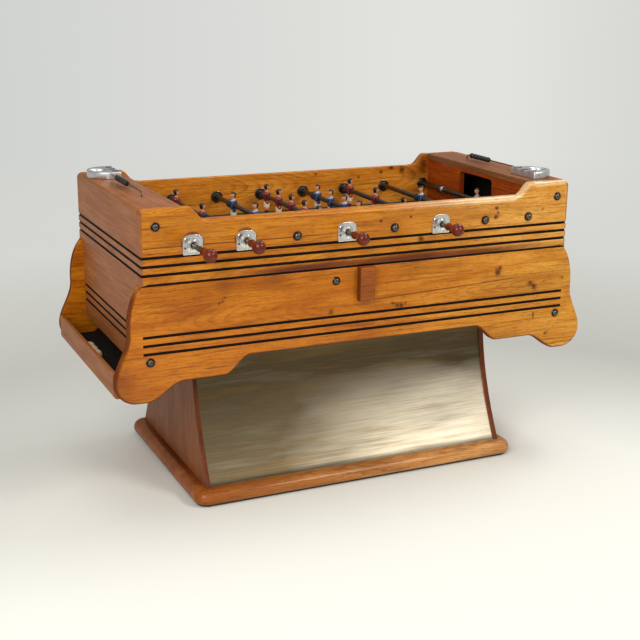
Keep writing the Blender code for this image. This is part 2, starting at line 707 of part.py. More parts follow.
def bearing_mesh():
    """Arched plate with a boss outside, a spigot through the side board and a disc inside it."""
    half = PLATE_WIDTH / 2
    crown = arc((0.0, PLATE_SIDE_HIGH), (half, PLATE_HIGH - PLATE_SIDE_HIGH), 0.0, math.pi, 8)
    outline = [(-half, -PLATE_LOW), (half, -PLATE_LOW)] + crown
    outside = -PLATE_FACE - PLATE_THICK
    plate = prism("plate", outline, outside, -PLATE_FACE, (0, 2, 1))
    end = outside - BOSS_HEIGHT
    bush = [(end, 0.0), (end, BOSS_TOP_RADIUS), (outside, BOSS_RADIUS),
            (-PLATE_FACE - PLATE_THICK / 2, BOSS_RADIUS), (-PLATE_FACE - PLATE_THICK / 2, SPIGOT_RADIUS),
            (-BETWEEN_SIDES, SPIGOT_RADIUS), (-BETWEEN_SIDES, DISC_RADIUS),
            (-DISC_FACE - DISC_THICK / 4, DISC_RADIUS), (-DISC_FACE, 0.7 * DISC_RADIUS), (-DISC_FACE, 0.0)]
    bore = [(end - BOARD, 0.0), (end - BOARD, BORE_FIT_RADIUS), (0.0, BORE_FIT_RADIUS), (0.0, 0.0)]
    return combine("bearing", plate, ("UNION", turned("bush", bush)), ("DIFFERENCE", turned("bore", bore)))


def build_rods():
    """Each rod hangs on an empty on its axis; the empty of a back rod is turned about."""
    bearing = bearing_mesh()
    handle = handle_mesh()
    for index, (side, count, pushed) in enumerate(ROD_PLAN):
        name = f"rod_{index + 1}"
        push = pushed * push_limit(count)
        axis = bpy.data.objects.new(f"{name}_axis", None)
        bpy.context.scene.collection.objects.link(axis)
        axis.location = (rod_x(index), 0.0, ROD_Z)
        axis.rotation_euler.z = 0.0 if side == "front" else math.pi
        team = TEAM_RED if side == "front" else TEAM_BLUE
        place(f"{name}_guide", guide_mesh(count), DARK_STEEL, axis)
        place(f"{name}_tube_and_men", tube_mesh(count), team, axis, (0.0, push, 0.0))
        knob = (0.0, push - handle_ball(count), 0.0)
        place(f"{name}_handle", handle.copy(), HANDLE_WOOD, axis, knob)
        place(f"{name}_bearing", bearing.copy(), ALUMINIUM, axis)


# Ashtrays and scores


def tray_mesh():
    """D-shaped casting with a bowl and three rests; straight inner side at x = 0, round side at -X."""
    half = TRAY_LENGTH / 2
    straight = TRAY_WIDTH - half
    outline = [(0.0, -half), (0.0, half)] + arc((-straight, 0.0), (half, half), math.pi / 2, 1.5 * math.pi, 12)
    body = prism("tray", outline, 0.0, TRAY_HEIGHT, (0, 1, 2))
    bm = bmesh.new()
    middle = BOWL_RADIUS + BOWL_RIM - TRAY_WIDTH
    ring = [(middle + x, y) for x, y in arc((0.0, 0.0), (BOWL_RADIUS, BOWL_RADIUS), 0.0, 2 * math.pi, 16)[:-1]]
    add_prism(bm, ring, TRAY_HEIGHT - BOWL_DEPTH, TRAY_HEIGHT * 2, (0, 1, 2))
    rests = bmesh.new()
    for number in (-1, 0, 1):
        y = number * REST_PITCH
        add_box(rests, (-REST_LENGTH, y - REST_WIDTH / 2, TRAY_HEIGHT - REST_DEPTH),
                (REST_LENGTH, y + REST_WIDTH / 2, TRAY_HEIGHT * 2))
    return combine("tray", body, ("DIFFERENCE", finish_mesh(bm, "bowl")),
                   ("DIFFERENCE", finish_mesh(rests, "rests")))


def wire_object(name, finish):
    """Score wire from the ashtray face to a bend down onto the shelf, along -Y."""
    start = TRAY_MIDDLE_Y - TRAY_LENGTH / 2 - JOINT_GAP
    corner = (-WIRE_REACH + WIRE_BEND, -WIRE_BEND)
    route = [(start, 0.0)]
    route += arc(corner, (WIRE_BEND, WIRE_BEND), math.pi / 2, math.pi, 5)
    route += [(-WIRE_REACH, -WIRE_RISE + JOINT_GAP)]
    curve = bpy.data.curves.new(name, "CURVE")
    curve.dimensions = "3D"
    curve.bevel_depth = WIRE_RADIUS
    curve.bevel_resolution = 2
    curve.use_fill_caps = True
    spline = curve.splines.new("POLY")
    spline.points.add(len(route) - 1)
    for point, (y, z) in zip(spline.points, route):
        point.co = (0.0, y, z, 1.0)
    return place(name, curve, finish)


def beads_mesh():
    """A run of barrel beads on one bore, middle at y = 0."""
    start = -BEAD_COUNT * BEAD_LENGTH / 2
    profile = []
    for number in range(BEAD_COUNT):
        for part, radius in ((0.0, BEAD_NECK_RADIUS), (0.3, BEAD_RADIUS), (0.7, BEAD_RADIUS)):
            profile.append((start + (number + part) * BEAD_LENGTH, radius))
    profile.append((-start, BEAD_NECK_RADIUS))
    hole = WIRE_RADIUS + ROD_FIT
    profile += [(-start, hole), (start, hole)]
    return turned("beads", profile, closed=True, segments=BEAD_SEGMENTS)


def build_scores():
    """The right end is the left end turned half round about the middle of the table."""
    wire_x = HALF_LENGTH - WIRE_END_GAP
    tray_x = HALF_LENGTH - TRAY_END_GAP - TRAY_WIDTH
    for end, beads_y in (("left", BEADS_LEFT_Y), ("right", BEADS_RIGHT_Y)):
        sign = end_sign(end)
        turn = 0.0 if end == "left" else math.pi
        tray = place(f"{end}_ashtray", tray_mesh(), ALUMINIUM)
        tray.location = (sign * tray_x, -sign * TRAY_MIDDLE_Y, TOP_Z + JOINT_GAP)
        tray.rotation_euler.z = turn
        wire = wire_object(f"{end}_score_wire", DARK_STEEL)
        wire.location = (sign * wire_x, 0.0, TOP_Z + WIRE_RISE)
        wire.rotation_euler.z = turn
        beads = place(f"{end}_score_beads", beads_mesh(), BLACK_BEADS)
        beads.location = (sign * wire_x, beads_y, TOP_Z + WIRE_RISE)


clear_scene()
build_sides()
for table_end in ("left", "right"):
    build_ends(table_end)
    build_lower_end(table_end)
build_field()
build_aprons()
build_ball_run()
build_pedestal()
build_plinth()
build_rods()
build_scores()
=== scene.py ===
"""Looks of the oak table football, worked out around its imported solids.

Metres: X along the length, -Y to the front side, Z up from the floor. Sizes repeat those of the part.
Every shape is a stack of rings: an outline or a circle carried along a path, one ring after another.
"""

import bmesh
import bpy
import numpy as np
from mathutils import Matrix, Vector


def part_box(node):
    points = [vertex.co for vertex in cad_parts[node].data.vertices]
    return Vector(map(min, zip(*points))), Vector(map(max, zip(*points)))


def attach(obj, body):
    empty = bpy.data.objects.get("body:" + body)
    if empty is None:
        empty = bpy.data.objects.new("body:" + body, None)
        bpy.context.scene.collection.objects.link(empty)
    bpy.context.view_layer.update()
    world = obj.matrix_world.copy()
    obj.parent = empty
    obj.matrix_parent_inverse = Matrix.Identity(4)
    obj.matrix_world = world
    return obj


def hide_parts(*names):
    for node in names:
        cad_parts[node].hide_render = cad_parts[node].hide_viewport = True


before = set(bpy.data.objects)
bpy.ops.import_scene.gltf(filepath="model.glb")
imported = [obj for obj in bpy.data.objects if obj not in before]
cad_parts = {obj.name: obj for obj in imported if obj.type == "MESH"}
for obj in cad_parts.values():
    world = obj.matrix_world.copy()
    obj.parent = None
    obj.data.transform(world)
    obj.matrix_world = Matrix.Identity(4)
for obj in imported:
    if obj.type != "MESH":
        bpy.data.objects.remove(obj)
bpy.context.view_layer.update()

# Sizes of the part
MM = 0.001
GAP = 0.0003
HALF_LENGTH, HALF_DEPTH = 0.710, 0.357
SEAM_Z, TOP_Z, RAIL_Z, ROD_Z, FIELD_Z = 0.703, 0.920, 0.882, 0.813, 0.735
BOARD = 0.028
SIDE_INNER = HALF_DEPTH - BOARD
BETWEEN_SIDES = SIDE_INNER - GAP
END_INNER = HALF_LENGTH - BOARD
WALL_X, WALL_THICK = 0.583, 0.018
RISE_END, RISE_LENGTH = 0.568, 0.047
SHELF_THICK, SHELF_NOSE = 0.019, 0.003
GOAL_HALF, GOAL_TOP, GOAL_CORNER = 0.1025, 0.8885, 0.014
GROOVE_WIDTH, GROOVE_DEPTH, GROOVE_PITCH = 0.0085, 0.0035, 0.025
BOX_GROOVE, APRON_GROOVE = SEAM_Z + 0.081, SEAM_Z - 0.148
APRON_FACE, APRON_INNER = 0.354, 0.326
BETWEEN_APRONS = APRON_INNER - GAP
WAIST_X, WAIST_Z, NECK_Z, SHOULDER, SEAM_X = 0.751, 0.580, 0.560, 0.071, 0.712
FOOT_X, FOOT_Z, FOOT_RADIUS, FOOT_FLAT = 0.729, 0.423, 0.065, 0.029
STEP_Z, ARCH_Z, FOOT_RISE, STEP_FLAT, ARCH_RISE = 0.412, 0.467, 0.110, 0.122, 0.083
LOWER_FACE, LOWER_THICK, LOWER_LOW = 0.706, 0.024, 0.445
LIP_INNER, LIP_FACE, LIP_LOW, LIP_TOP, LIP_ROUND = 0.782, 0.793, 0.375, 0.453, 0.016
RUN_Z, RUN_SLOPE, RUN_REACH, RUN_DROP, RUN_FALL, RUN_THICK = 0.4673, 0.682, 0.7817, 0.088, 0.005, 0.008
COVER_X, COVER_Z, COVER_Y = (-0.041, 0.011), (0.5987, 0.7027), (-0.3763, -0.3543)
PLINTH_HALF_LENGTH, PLINTH_HALF_DEPTH, PLINTH_HEIGHT, PLINTH_CORNER = 0.557, 0.357, 0.050, 0.042
PEDESTAL_HALF, PEDESTAL_THICK, SHEET_HALF = 0.517, 0.014, 0.5027
SHEET_TOP, SHEET_FOOT, SHEET_HOLLOW, SHEET_THICK, SHEET_SET = 0.185, 0.315, 0.028, 0.002, 0.008
TUBE_RADIUS, BORE_RADIUS, GUIDE_RADIUS, SHANK_RADIUS, SPIGOT_RADIUS = 0.008, 0.0053, 0.0045, 0.006, 0.012
ROD_FIT = 0.0006
BEARING_BORE = TUBE_RADIUS + ROD_FIT
PLATE_FACE, PLATE_THICK = HALF_DEPTH + GAP, 0.004
PLATE_OUT = PLATE_FACE + PLATE_THICK
DISC_RADIUS, DISC_FACE = 0.020, BETWEEN_SIDES - 0.008
HEAD_RADIUS = 0.0135
BUFFER_RADIUS, BUFFER_LENGTH, TUBE_END = 0.014, 0.020, 0.0035
BALL_RADIUS, NECK_LENGTH, SOCKET_DEPTH = 0.020, 0.055, 0.038
MAN_HALF_WIDTH = 0.0135
MEN_SPACING = {1: 0.0, 2: 0.398, 3: 0.299, 5: 0.161}
KEEPER_BUFFER = 0.353
RODS = (("front", 1), ("front", 2), ("back", 3), ("front", 5),
        ("back", 5), ("front", 3), ("back", 2), ("back", 1))
ROD_PITCH = 0.160
TRAY_HALF, TRAY_WIDTH, TRAY_HEIGHT, TRAY_X, TRAY_Y = 0.069, 0.093, 0.022, 0.611, 0.235
BOWL_RADIUS, BOWL_X, BOWL_DEPTH = 0.029, -0.058, 0.015
WIRE_X, WIRE_Z, WIRE_RADIUS, WIRE_BEND, WIRE_END, WIRE_FOOT = 0.645, 0.936, 0.002, 0.012, 0.160, 0.0157
BEAD_LENGTH, BEAD_RADIUS = 0.0205, 0.009

# Sizes that only the looks have
FINE_ARRIS, INNER_EDGE, NEAR = 0.0006, 0.003, 0.001
SIDE_CORNER, EDGE_RUN = 0.016, 0.020
PLINTH_ROUNDS = (0.023, 0.026)
COVE, COVE_GAP = 0.014, 0.0002
MAN_BORE = 0.0064
BOX_BOLT, FOOT_BOLT, SCREW = (0.667, 0.871), (0.690, 0.481), (-0.111, 0.665)
LOOSE_BALL, LOOSE_X, LOOSE_Z = 0.0175, -0.7525, 0.4036
ALONG_X, ALONG_Y, ALONG_Z = (1, 2, 0), (0, 2, 1), (0, 1, 2)
CREASE = np.radians(35)
FRONT, BACK = -HALF_DEPTH, SIDE_INNER


# Shapes


def turn_angles(count):
    """Equal angles once round."""
    return np.linspace(0, 2 * np.pi, count, endpoint=False)


def shell(rings, tints=0, loop=False, end_tint=None):
    """Closed skin over rings (rows x points x 3): four-sided faces ring to ring, flat ends or a joined loop.

    tints gives the finish number of each row of faces, each column, or each face; end_tint that of the ends.
    """
    rows, count = rings.shape[:2]
    index = np.arange(rows * count).reshape(rows, count)
    ahead = np.roll(index, -1, axis=1)
    low = slice(None) if loop else slice(None, -1)
    upper, upper_ahead = np.roll(index, -1, axis=0), np.roll(ahead, -1, axis=0)
    quads = np.stack([index, ahead, upper_ahead, upper], axis=-1)[low].reshape(-1, 4)
    tints = np.asarray(tints)
    if tints.ndim == 1 and len(tints) == len(index[low]) != count:
        tints = tints[:, None]
    tints = np.broadcast_to(tints, index[low].shape)
    ends = [] if loop else [index[0, ::-1], index[-1]]
    end_tints = [] if loop else [tints[0, 0], tints[-1, -1]] if end_tint is None else [end_tint, end_tint]
    return rings.reshape(-1, 3), quads, ends, np.append(tints.ravel(), end_tints).astype(np.int32)


def smooth(mesh):
    """Soft shading with sharp creases."""
    mesh.shade_smooth()
    mesh.set_sharp_from_angle(angle=CREASE)
    return mesh


def mesh_of(name, shells, finishes):
    """One mesh from closed skins; poles are merged and faces turned outwards."""
    starts = np.cumsum([0] + [len(points) for points, _, _, _ in shells])
    faces, tints = [], []
    for start, (points, quads, ends, tint) in zip(starts, shells):
        faces += (quads + start).tolist() + [(end + start).tolist() for end in ends]
        tints.append(tint)
    mesh = bpy.data.meshes.new(name)
    mesh.from_pydata(np.concatenate([points for points, _, _, _ in shells]).tolist(), [], faces)
    mesh.polygons.foreach_set("material_index", np.concatenate(tints))
    for material in finishes:
        mesh.materials.append(material)
    work = bmesh.new()
    work.from_mesh(mesh)
    bmesh.ops.remove_doubles(work, verts=work.verts, dist=1e-7)
    bmesh.ops.recalc_face_normals(work, faces=work.faces)
    work.to_mesh(mesh)
    work.free()
    return smooth(mesh)


def added(name, data):
    """New object in the scene."""
    made = bpy.data.objects.new(name, data)
    bpy.context.scene.collection.objects.link(made)
    return made


def carved(made, tools, material_mode):
    """Mesh of an object with the tools taken out of it; the tools are used up."""
    for tool in tools:
        cut = made.modifiers.new("cut", "BOOLEAN")
        cut.operation, cut.solver, cut.object, cut.material_mode = "DIFFERENCE", "EXACT", tool, material_mode
    bpy.context.view_layer.update()
    mesh = bpy.data.meshes.new_from_object(made.evaluated_get(bpy.context.evaluated_depsgraph_get()))
    made.modifiers.clear()
    for tool in tools:
        bpy.data.objects.remove(tool, do_unlink=True)
    return mesh


def piece(name, shells, finishes, body="cabinet", stands_for=(), cuts=(), level_faces=False):
    """A piece of the table on its body; each cut is a set of skins taken out, which leave their finish."""
    made = added(name, mesh_of(name, shells, finishes))
    if cuts:
        tools = [added(name + "_cut", mesh_of(name + "_cut", *cut)) for cut in cuts]
        made.data = smooth(carved(made, tools, "TRANSFER"))
    if level_faces:
        weigh = made.modifiers.new("level faces", "WEIGHTED_NORMAL")
        weigh.mode, weigh.weight, weigh.keep_sharp = "FACE_AREA", 50, True
    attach(made, body)
    if stands_for:
        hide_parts(*stands_for)


def board(outline, low, high, axes, arris, tints=0, steps=5, end_tint=None):
    """Board from low to high along axes[2] over an outline in axes[0] and axes[1].

    At depth r(1 - cos a) under a face the outline is drawn in by r(1 - sin a), a quarter round of radius r.
    arris is r for both faces, or a pair, and each may hold one value for every point.
    """
    outline = np.asarray(outline, float)
    ahead = np.roll(outline, -1, axis=0) - outline
    ahead /= np.linalg.norm(ahead, axis=1, keepdims=True)
    inward = np.stack([-ahead[:, 1], ahead[:, 0]], axis=1)
    before = np.roll(inward, 1, axis=0)
    mitre = (inward + before) / (1 + (inward * before).sum(axis=1, keepdims=True))
    turn = np.linspace(0, np.pi / 2, steps)[:, None]
    rings = np.empty((2 * steps, len(outline), 3))
    pair = arris if isinstance(arris, tuple) else (arris, arris)
    from_low, from_high = slice(None, steps), slice(None, steps - 1, -1)
    for radius, face, side, rows in ((pair[0], low, 1, from_low), (pair[1], high, -1, from_high)):
        radius = np.broadcast_to(radius, len(outline))
        drawn = outline + mitre * (radius * (1 - np.sin(turn)))[..., None]
        rings[rows, :, axes[0]] = drawn[..., 0]
        rings[rows, :, axes[1]] = drawn[..., 1]
        rings[rows, :, axes[2]] = face + side * radius * (1 - np.cos(turn))
    return shell(rings, tints, end_tint=end_tint)


def plank(name, outline, span, axes, arris, finishes, slot, solid, cuts=(), **details):
    """A board of the cabinet that stands for one solid."""
    piece(name, [board(outline, *sorted(span), axes, arris, **details)], finishes, stands_for=[solid],
          cuts=cuts, level_faces=True)


def block(low, high):
    """Plain block between two corners, used to cut."""
    (x0, y0, z0), (x1, y1, z1) = low, high
    ring = np.array([(x0, y0), (x1, y0), (x1, y1), (x0, y1)])
    return shell(np.stack([np.column_stack([ring, np.full(4, z)]) for z in (z0, z1)]))


def turned(profile, x=0.0, y=0.0, z=0.0, toward=1.0, segments=32, tints=0, loop=False):
    """Lathe work about a line along Y: each (distance, radius) of the profile becomes a circle."""
    profile = np.asarray(profile, float)
    angle = turn_angles(segments)
    rings = np.empty((len(profile), segments, 3))
    rings[..., 0] = x + profile[:, 1:] * np.cos(angle)
    rings[..., 1] = y + toward * profile[:, :1]
    rings[..., 2] = z + profile[:, 1:] * np.sin(angle)
    return shell(rings, tints, loop)


def ease(start, end, level, steps=24):
    """S curve between two points, t and 3t^2 - 2t^3; it leaves and arrives level or upright."""
    t = np.linspace(0, 1, steps + 1)
    share = np.column_stack([t, t * t * (3 - 2 * t)])
    return np.asarray(start) + (np.asarray(end) - np.asarray(start)) * (share if level else share[:, ::-1])


def arc(centre, radii, start, end, steps=12):
    """Points of an oval or round arc between two angles in degrees."""
    angle = np.radians(np.linspace(start, end, steps + 1))
    return np.column_stack([np.cos(angle), np.sin(angle)]) * radii + centre


def both_halves(right):
    """Closed outline from its right half, which runs from the bottom middle up to the top middle."""
    right = right[np.append(True, np.linalg.norm(np.diff(right, axis=0), axis=1) > 1e-6)]
    left = right[right[:, 0] > 1e-6][::-1] * (-1, 1)
    return np.concatenate([right, left])


def facing(outline, sign):
    """Outline on the left or right end of the table, kept in the same turning sense."""
    return outline if sign > 0 else (outline * (-1, 1))[::-1]


def side_outline():
    """Play box side: level rail with an S curve up to each raised end, whose corner is a quarter round."""
    rail_end = RISE_END - RISE_LENGTH
    return both_halves(np.concatenate([
        [(0.0, SEAM_Z), (HALF_LENGTH - EDGE_RUN, SEAM_Z), (HALF_LENGTH, SEAM_Z)],
        arc((HALF_LENGTH - SIDE_CORNER, TOP_Z - SIDE_CORNER), SIDE_CORNER, 0, 90, 8),
        [(RISE_END + EDGE_RUN, TOP_Z)],
        ease((RISE_END, TOP_Z), (rail_end, RAIL_Z), True), [(rail_end - EDGE_RUN, RAIL_Z), (0.0, RAIL_Z)]]))


def apron_outline():
    """Apron: arch, two S steps down to the foot, round foot, flare, upright waist, oval shoulder."""
    low, step = FOOT_Z - FOOT_RADIUS, FOOT_X - FOOT_FLAT - FOOT_RISE
    start = np.degrees(np.arccos(1 - (WAIST_X - SEAM_X) / SHOULDER))
    height = (SEAM_Z - GAP - WAIST_Z) / np.sin(np.radians(start))
    return both_halves(np.concatenate([
        [(0.0, ARCH_Z)],
        ease((step - STEP_FLAT - ARCH_RISE, ARCH_Z), (step - STEP_FLAT, STEP_Z), True),
        ease((step, STEP_Z), (step + FOOT_RISE, low), True),
        arc((FOOT_X, FOOT_Z), FOOT_RADIUS, -90, 0, 20),
        ease((FOOT_X + FOOT_RADIUS, FOOT_Z), (WAIST_X, NECK_Z), False),
        arc((WAIST_X - SHOULDER, WAIST_Z), (SHOULDER, height), 0, start, 16),
        [(0.0, SEAM_Z - GAP)]]))


def grooved_outline(face, inner, low, top, groove_top, top_round):
    """Upright section of an end board, with its three grooves in the outer face."""
    levels = groove_top - GROOVE_PITCH * np.arange(3)[::-1]
    step = np.array([(0, -0.5), (-GROOVE_DEPTH, -0.5), (-GROOVE_DEPTH, 0.5), (0, 0.5)])
    across = np.broadcast_to(face + step[:, 0], (3, 4))
    notch = np.stack([across, levels[:, None] + step[:, 1] * GROOVE_WIDTH], axis=-1)
    crown = arc((face - top_round, top - top_round), top_round, 0, 90, 6)
    return np.concatenate([[(inner, low), (face, low)], notch.reshape(-1, 2), crown, [(inner, top)]])


def middles(outline):
    """Middle of each side of a closed outline."""
    return (outline + np.roll(outline, -1, axis=0)) / 2


def groove_tints(outline, face):
    """Finish 1 in the grooves of an end board, 2 on its inner face, 0 elsewhere."""
    across, rise = np.abs(middles(outline)).T
    groove = (across < face - 1e-5) & (across > face - GROOVE_DEPTH - 1e-5) & (rise < SEAM_Z + 0.1)
    return np.where(across < face - 0.02, 2, groove.astype(int))


def groove_blocks(top, x_span, y_span):
    """Cutting blocks of three level grooves."""
    levels = top - GROOVE_PITCH * np.arange(3)
    (x0, x1), (y0, y1) = x_span, sorted(y_span)
    return [block((x0, y0, z - GROOVE_WIDTH / 2), (x1, y1, z + GROOVE_WIDTH / 2)) for z in levels]


def sheet_line(offset, count=40):
    """Hollow line of the pedestal from foot to top, as (y outwards, z)."""
    t = np.linspace(1, 0, count)
    out = SHEET_TOP + (SHEET_FOOT - SHEET_TOP) * t - SHEET_HOLLOW * 4 * t * (1 - t) + offset
    return np.column_stack([out, ARCH_Z + (PLINTH_HEIGHT + GAP - ARCH_Z) * t])


def dome(radius, height, base):
    """Profile of a domed head from its crown down to its rim."""
    return arc((base, 0), (height, radius), 0, 90, 6)


# Finishes


def colour(code):
    """sRGB hex to linear RGBA."""
    srgb = np.array([int(code[place:place + 2], 16) for place in (1, 3, 5)]) / 255
    linear = np.where(srgb <= 0.04045, srgb / 12.92, ((srgb + 0.055) / 1.055) ** 2.4)
    return (*linear.tolist(), 1.0)


def node(tree, kind, inputs=None, **settings):
    """Add a node with its settings; an input that is another node's output is linked, a value is set."""
    made = tree.nodes.new("ShaderNode" + kind)
    for key, value in settings.items():
        setattr(made, key, value)
    for key, value in (inputs or {}).items():
        if isinstance(value, bpy.types.NodeSocket):
            tree.links.new(value, made.inputs[key])
        else:
            made.inputs[key].default_value = value
    return made


def number(tree, operation, *values):
    """One step of arithmetic on numbers."""
    return node(tree, "Math", dict(enumerate(values)), operation=operation).outputs[0]


def vector(tree, operation, *values):
    """One step of arithmetic on vectors; a distance, a length or a dot product is a number."""
    result = "Value" if operation in ("DISTANCE", "LENGTH", "DOT_PRODUCT") else "Vector"
    return node(tree, "VectorMath", dict(enumerate(values)), operation=operation).outputs[result]


def mapped(tree, place, **change):
    """Place scaled, turned and moved."""
    return node(tree, "Mapping", {"Vector": place, **change}).outputs["Vector"]


def noise(tree, place, per_metre, detail=3.0, roughness=0.55, output="Fac"):
    """Noise with its own count of waves in a metre along each axis."""
    waves = mapped(tree, place, Scale=per_metre)
    return node(tree, "TexNoise", {"Vector": waves, "Scale": 1.0, "Detail": detail,
                                   "Roughness": roughness}).outputs[output]


def ranged(tree, value, low, high, start=0.0, end=1.0):
    """Value stretched from low..high to start..end and held there."""
    return node(tree, "MapRange", {"Value": value, "From Min": low, "From Max": high, "To Min": start,
                                   "To Max": end}).outputs["Result"]


def blend(tree, share, first, second):
    """Two colours mixed by a share."""
    return node(tree, "Mix", {0: share, 6: first, 7: second}, data_type="RGBA").outputs[2]


def tinged(tree, tone, code, *spread):
    """Tone blended with a colour over a ranged value."""
    return blend(tree, ranged(tree, *spread), tone, colour(code))


def finish(name, **sockets):
    """New material; its shader's sockets are set by name, with _ for a space."""
    made = bpy.data.materials.new(name)
    made.use_nodes = True
    tree = made.node_tree
    shader = tree.nodes["Principled BSDF"]
    for key, value in sockets.items():
        shader.inputs[key.replace("_", " ").title().replace("Ior", "IOR")].default_value = value
    return made, tree, shader


def wire_up(tree, shader, tone, roughness, height, strength, distance):
    """Lead a tone, a roughness and a fine relief to the shader."""
    bump = node(tree, "Bump", {"Strength": strength, "Distance": distance, "Height": height}).outputs[0]
    for key, source in (("Base Color", tone), ("Roughness", roughness), ("Normal", bump)):
        tree.links.new(source, shader.inputs[key])


def oak(name, light, middle, dark, grain="x", heart=(0.0, 0.0, 0.0), seed=0.0, roughness=(0.30, 0.46),
        coat=0.35, coat_roughness=0.12, figured=0.40, toward=None, edges=0.0, face=FRONT, joints=(),
        stains=(), knots=()):
    """Flat-sawn oak, stained and varnished, some decades old.

    To the eye: arched growth rings 4 mm apart round the heart, twelve times longer than high; fine pale and
    dark streaks along the grain; clouds of paler and redder wood; short dark pores drawn 1.5 mm wide; glued
    joints, knots and old stains at their places on a face, some stains being painted shade; painted shade on
    edges that look down or left; tones shifted toward others from one x to the next, as painted light and
    shade. The gloss is the clear varnish alone, a little rubbed.
    """
    made, tree, shader = finish(name, ior=1.5, specular_ior_level=0.1, coat_weight=coat,
                                coat_roughness=coat_roughness, coat_ior=1.5)
    spot = node(tree, "TexCoord").outputs["Object"]
    place = node(tree, "SeparateXYZ", {0: spot}).outputs
    turns = {"x": (0, 0, 0), "y": (0, 0, -np.pi / 2), "z": (0, np.pi / 2, 0)}
    shift = np.array([1.0, 0.31, 0.17]) * seed
    along = mapped(tree, spot, Rotation=turns[grain], Location=shift)
    sway = noise(tree, along, (2.0, 11.0, 11.0), 5.0, 0.6, "Color")
    bent = vector(tree, "MULTIPLY_ADD", sway, (0.0, 0.026, 0.026), along)
    long_rings = np.array([0.085, 1.0, 1.0])
    middle_at = -(np.asarray(heart) + shift + (0.0, 0.013, 0.013)) * long_rings
    rings = node(tree, "TexWave", {"Vector": mapped(tree, bent, Scale=long_rings, Location=middle_at),
                                   "Scale": 2 * np.pi / (20 * 0.004), "Distortion": 0.0},
                 wave_type="RINGS", rings_direction="SPHERICAL", wave_profile="SAW").outputs["Fac"]
    streaks = noise(tree, bent, (4.0, 170.0, 170.0), 5.0, 0.62)
    pores = noise(tree, bent, (40.0, 600.0, 600.0), 2.0)
    broad = noise(tree, along, (2.2, 7.0, 7.0))
    clouds = noise(tree, bent, (5.0, 26.0, 26.0), 4.0, 0.6)
    flecks = noise(tree, bent, (45.0, 260.0, 260.0), 1.0)
    tones = [colour(light), colour(middle)]
    # Painted light and shade: the tones shift toward others from one x to the next.
    if toward:
        right = ranged(tree, place[0], *toward[2:])
        tones = [blend(tree, right, tone, colour(code)) for tone, code in zip(tones, toward)]
    tone = blend(tree, ranged(tree, clouds, 0.34, 0.66), *tones)
    tone = blend(tree, ranged(tree, streaks, 0.42, 0.66, 0.0, 0.60), tone, tones[1])
    tone = tinged(tree, tone, dark, streaks, 0.53, 0.74, 0.0, 0.75)
    seen = ranged(tree, broad, 0.38, 0.60, 0.15 * figured, figured)
    tone = blend(tree, number(tree, "MULTIPLY", ranged(tree, rings, 0.5, 1.0), seen), tone, colour(dark))
    tone = tinged(tree, tone, dark, broad, 0.52, 0.76, 0.0, 0.40)
    tone = tinged(tree, tone, dark, pores, 0.57, 0.69, 0.0, 0.65)
    tone = tinged(tree, tone, "#43200C", flecks, 0.73, 0.79, 0.0, 0.6)
    uneven = vector(tree, "MULTIPLY_ADD", sway, (0.0, 0.0, 0.006), spot)
    for x_from, z_from, x_to, z_to, strength in joints:
        slope = (z_to - z_from) / (x_to - x_from)
        far = vector(tree, "DOT_PRODUCT", uneven, (-slope, 0.0, 1.0))
        far = number(tree, "SUBTRACT", far, z_from - slope * x_from + 0.003)
        line = ranged(tree, number(tree, "ABSOLUTE", far), 0.0007, 0.0026, strength, 0.0)
        for fade in ((place[0], x_from - 0.02, x_from + 0.02), (place[0], x_to + 0.06, x_to - 0.06),
                     (place[1], face + 0.020, face + 0.016)):
            line = number(tree, "MULTIPLY", line, ranged(tree, *fade))
        tone = blend(tree, line, tone, colour("#34160A"))
    for x, z, wide, high, edge, strength in stains:
        size = np.array([1 / wide, 3.0, 1 / high])
        far = vector(tree, "LENGTH", mapped(tree, spot, Scale=size, Location=-size * (x, face, z)))
        far = number(tree, "MULTIPLY_ADD", streaks, 1.0 - edge, far)
        tone = tinged(tree, tone, "#5C2208", far, 0.5 + 0.45 * edge, 1.5 - 0.5 * edge, strength, 0.0)
    ragged = noise(tree, spot, (90.0, 90.0, 90.0), 2.0, output="Color")
    ragged = vector(tree, "MULTIPLY_ADD", ragged, (0.014, 0.0, 0.010), spot)
    for x, z, radius in knots:
        far = vector(tree, "DISTANCE", ragged, (x + 0.007, face, z + 0.005))
        tone = tinged(tree, tone, "#431C0B", far, 0.5 * radius, 1.9 * radius, 0.9, 0.0)
    rough = ranged(tree, streaks, 0.3, 0.7, *roughness)
    # Painted shade: rounded edges that look down or left are darkened toward dark brown; their varnish is
    # thinner and rougher.
    if edges:
        normal = node(tree, "TexCoord").outputs["Normal"]
        level = number(tree, "ABSOLUTE", node(tree, "SeparateXYZ", {0: normal}).outputs[1])
        lean = vector(tree, "DOT_PRODUCT", normal, (-0.8, 0.0, -1.0))
        rim, down = ranged(tree, level, 0.985, 0.75), ranged(tree, lean, 0.0, 0.35, 0.0, edges)
        tone = blend(tree, number(tree, "MULTIPLY", rim, down), tone, colour("#5E280A"))
        rough = number(tree, "ADD", rough, ranged(tree, level, 0.985, 0.75, 0.0, 0.5))
        tree.links.new(ranged(tree, level, 0.15, 0.7, 0.03, coat), shader.inputs["Coat Weight"])
    elif toward and coat == 1.0:
        tree.links.new(ranged(tree, place[0], *toward[2:], 0.15, coat), shader.inputs["Coat Weight"])
    wire_up(tree, shader, tone, rough, number(tree, "ADD", pores, streaks), 0.20, 0.0006)
    return made


def speckled(name, first, second, per_metre, roughness, metallic=0.0, bump=0.15, stretch=(1.0, 1.0, 1.0),
             **sockets):
    """Finish with two tones and a worn gloss in one noise, whose size is per_metre waves a metre."""
    made, tree, shader = finish(name, metallic=metallic, **sockets)
    spot = node(tree, "TexCoord").outputs["Object"]
    speck = noise(tree, spot, tuple(per_metre * part for part in stretch), 4.0, 0.6)
    tone = tinged(tree, colour(first), second, speck, 0.35, 0.68)
    wire_up(tree, shader, tone, ranged(tree, speck, 0.3, 0.7, *roughness), speck, bump, 0.0004)
    return made


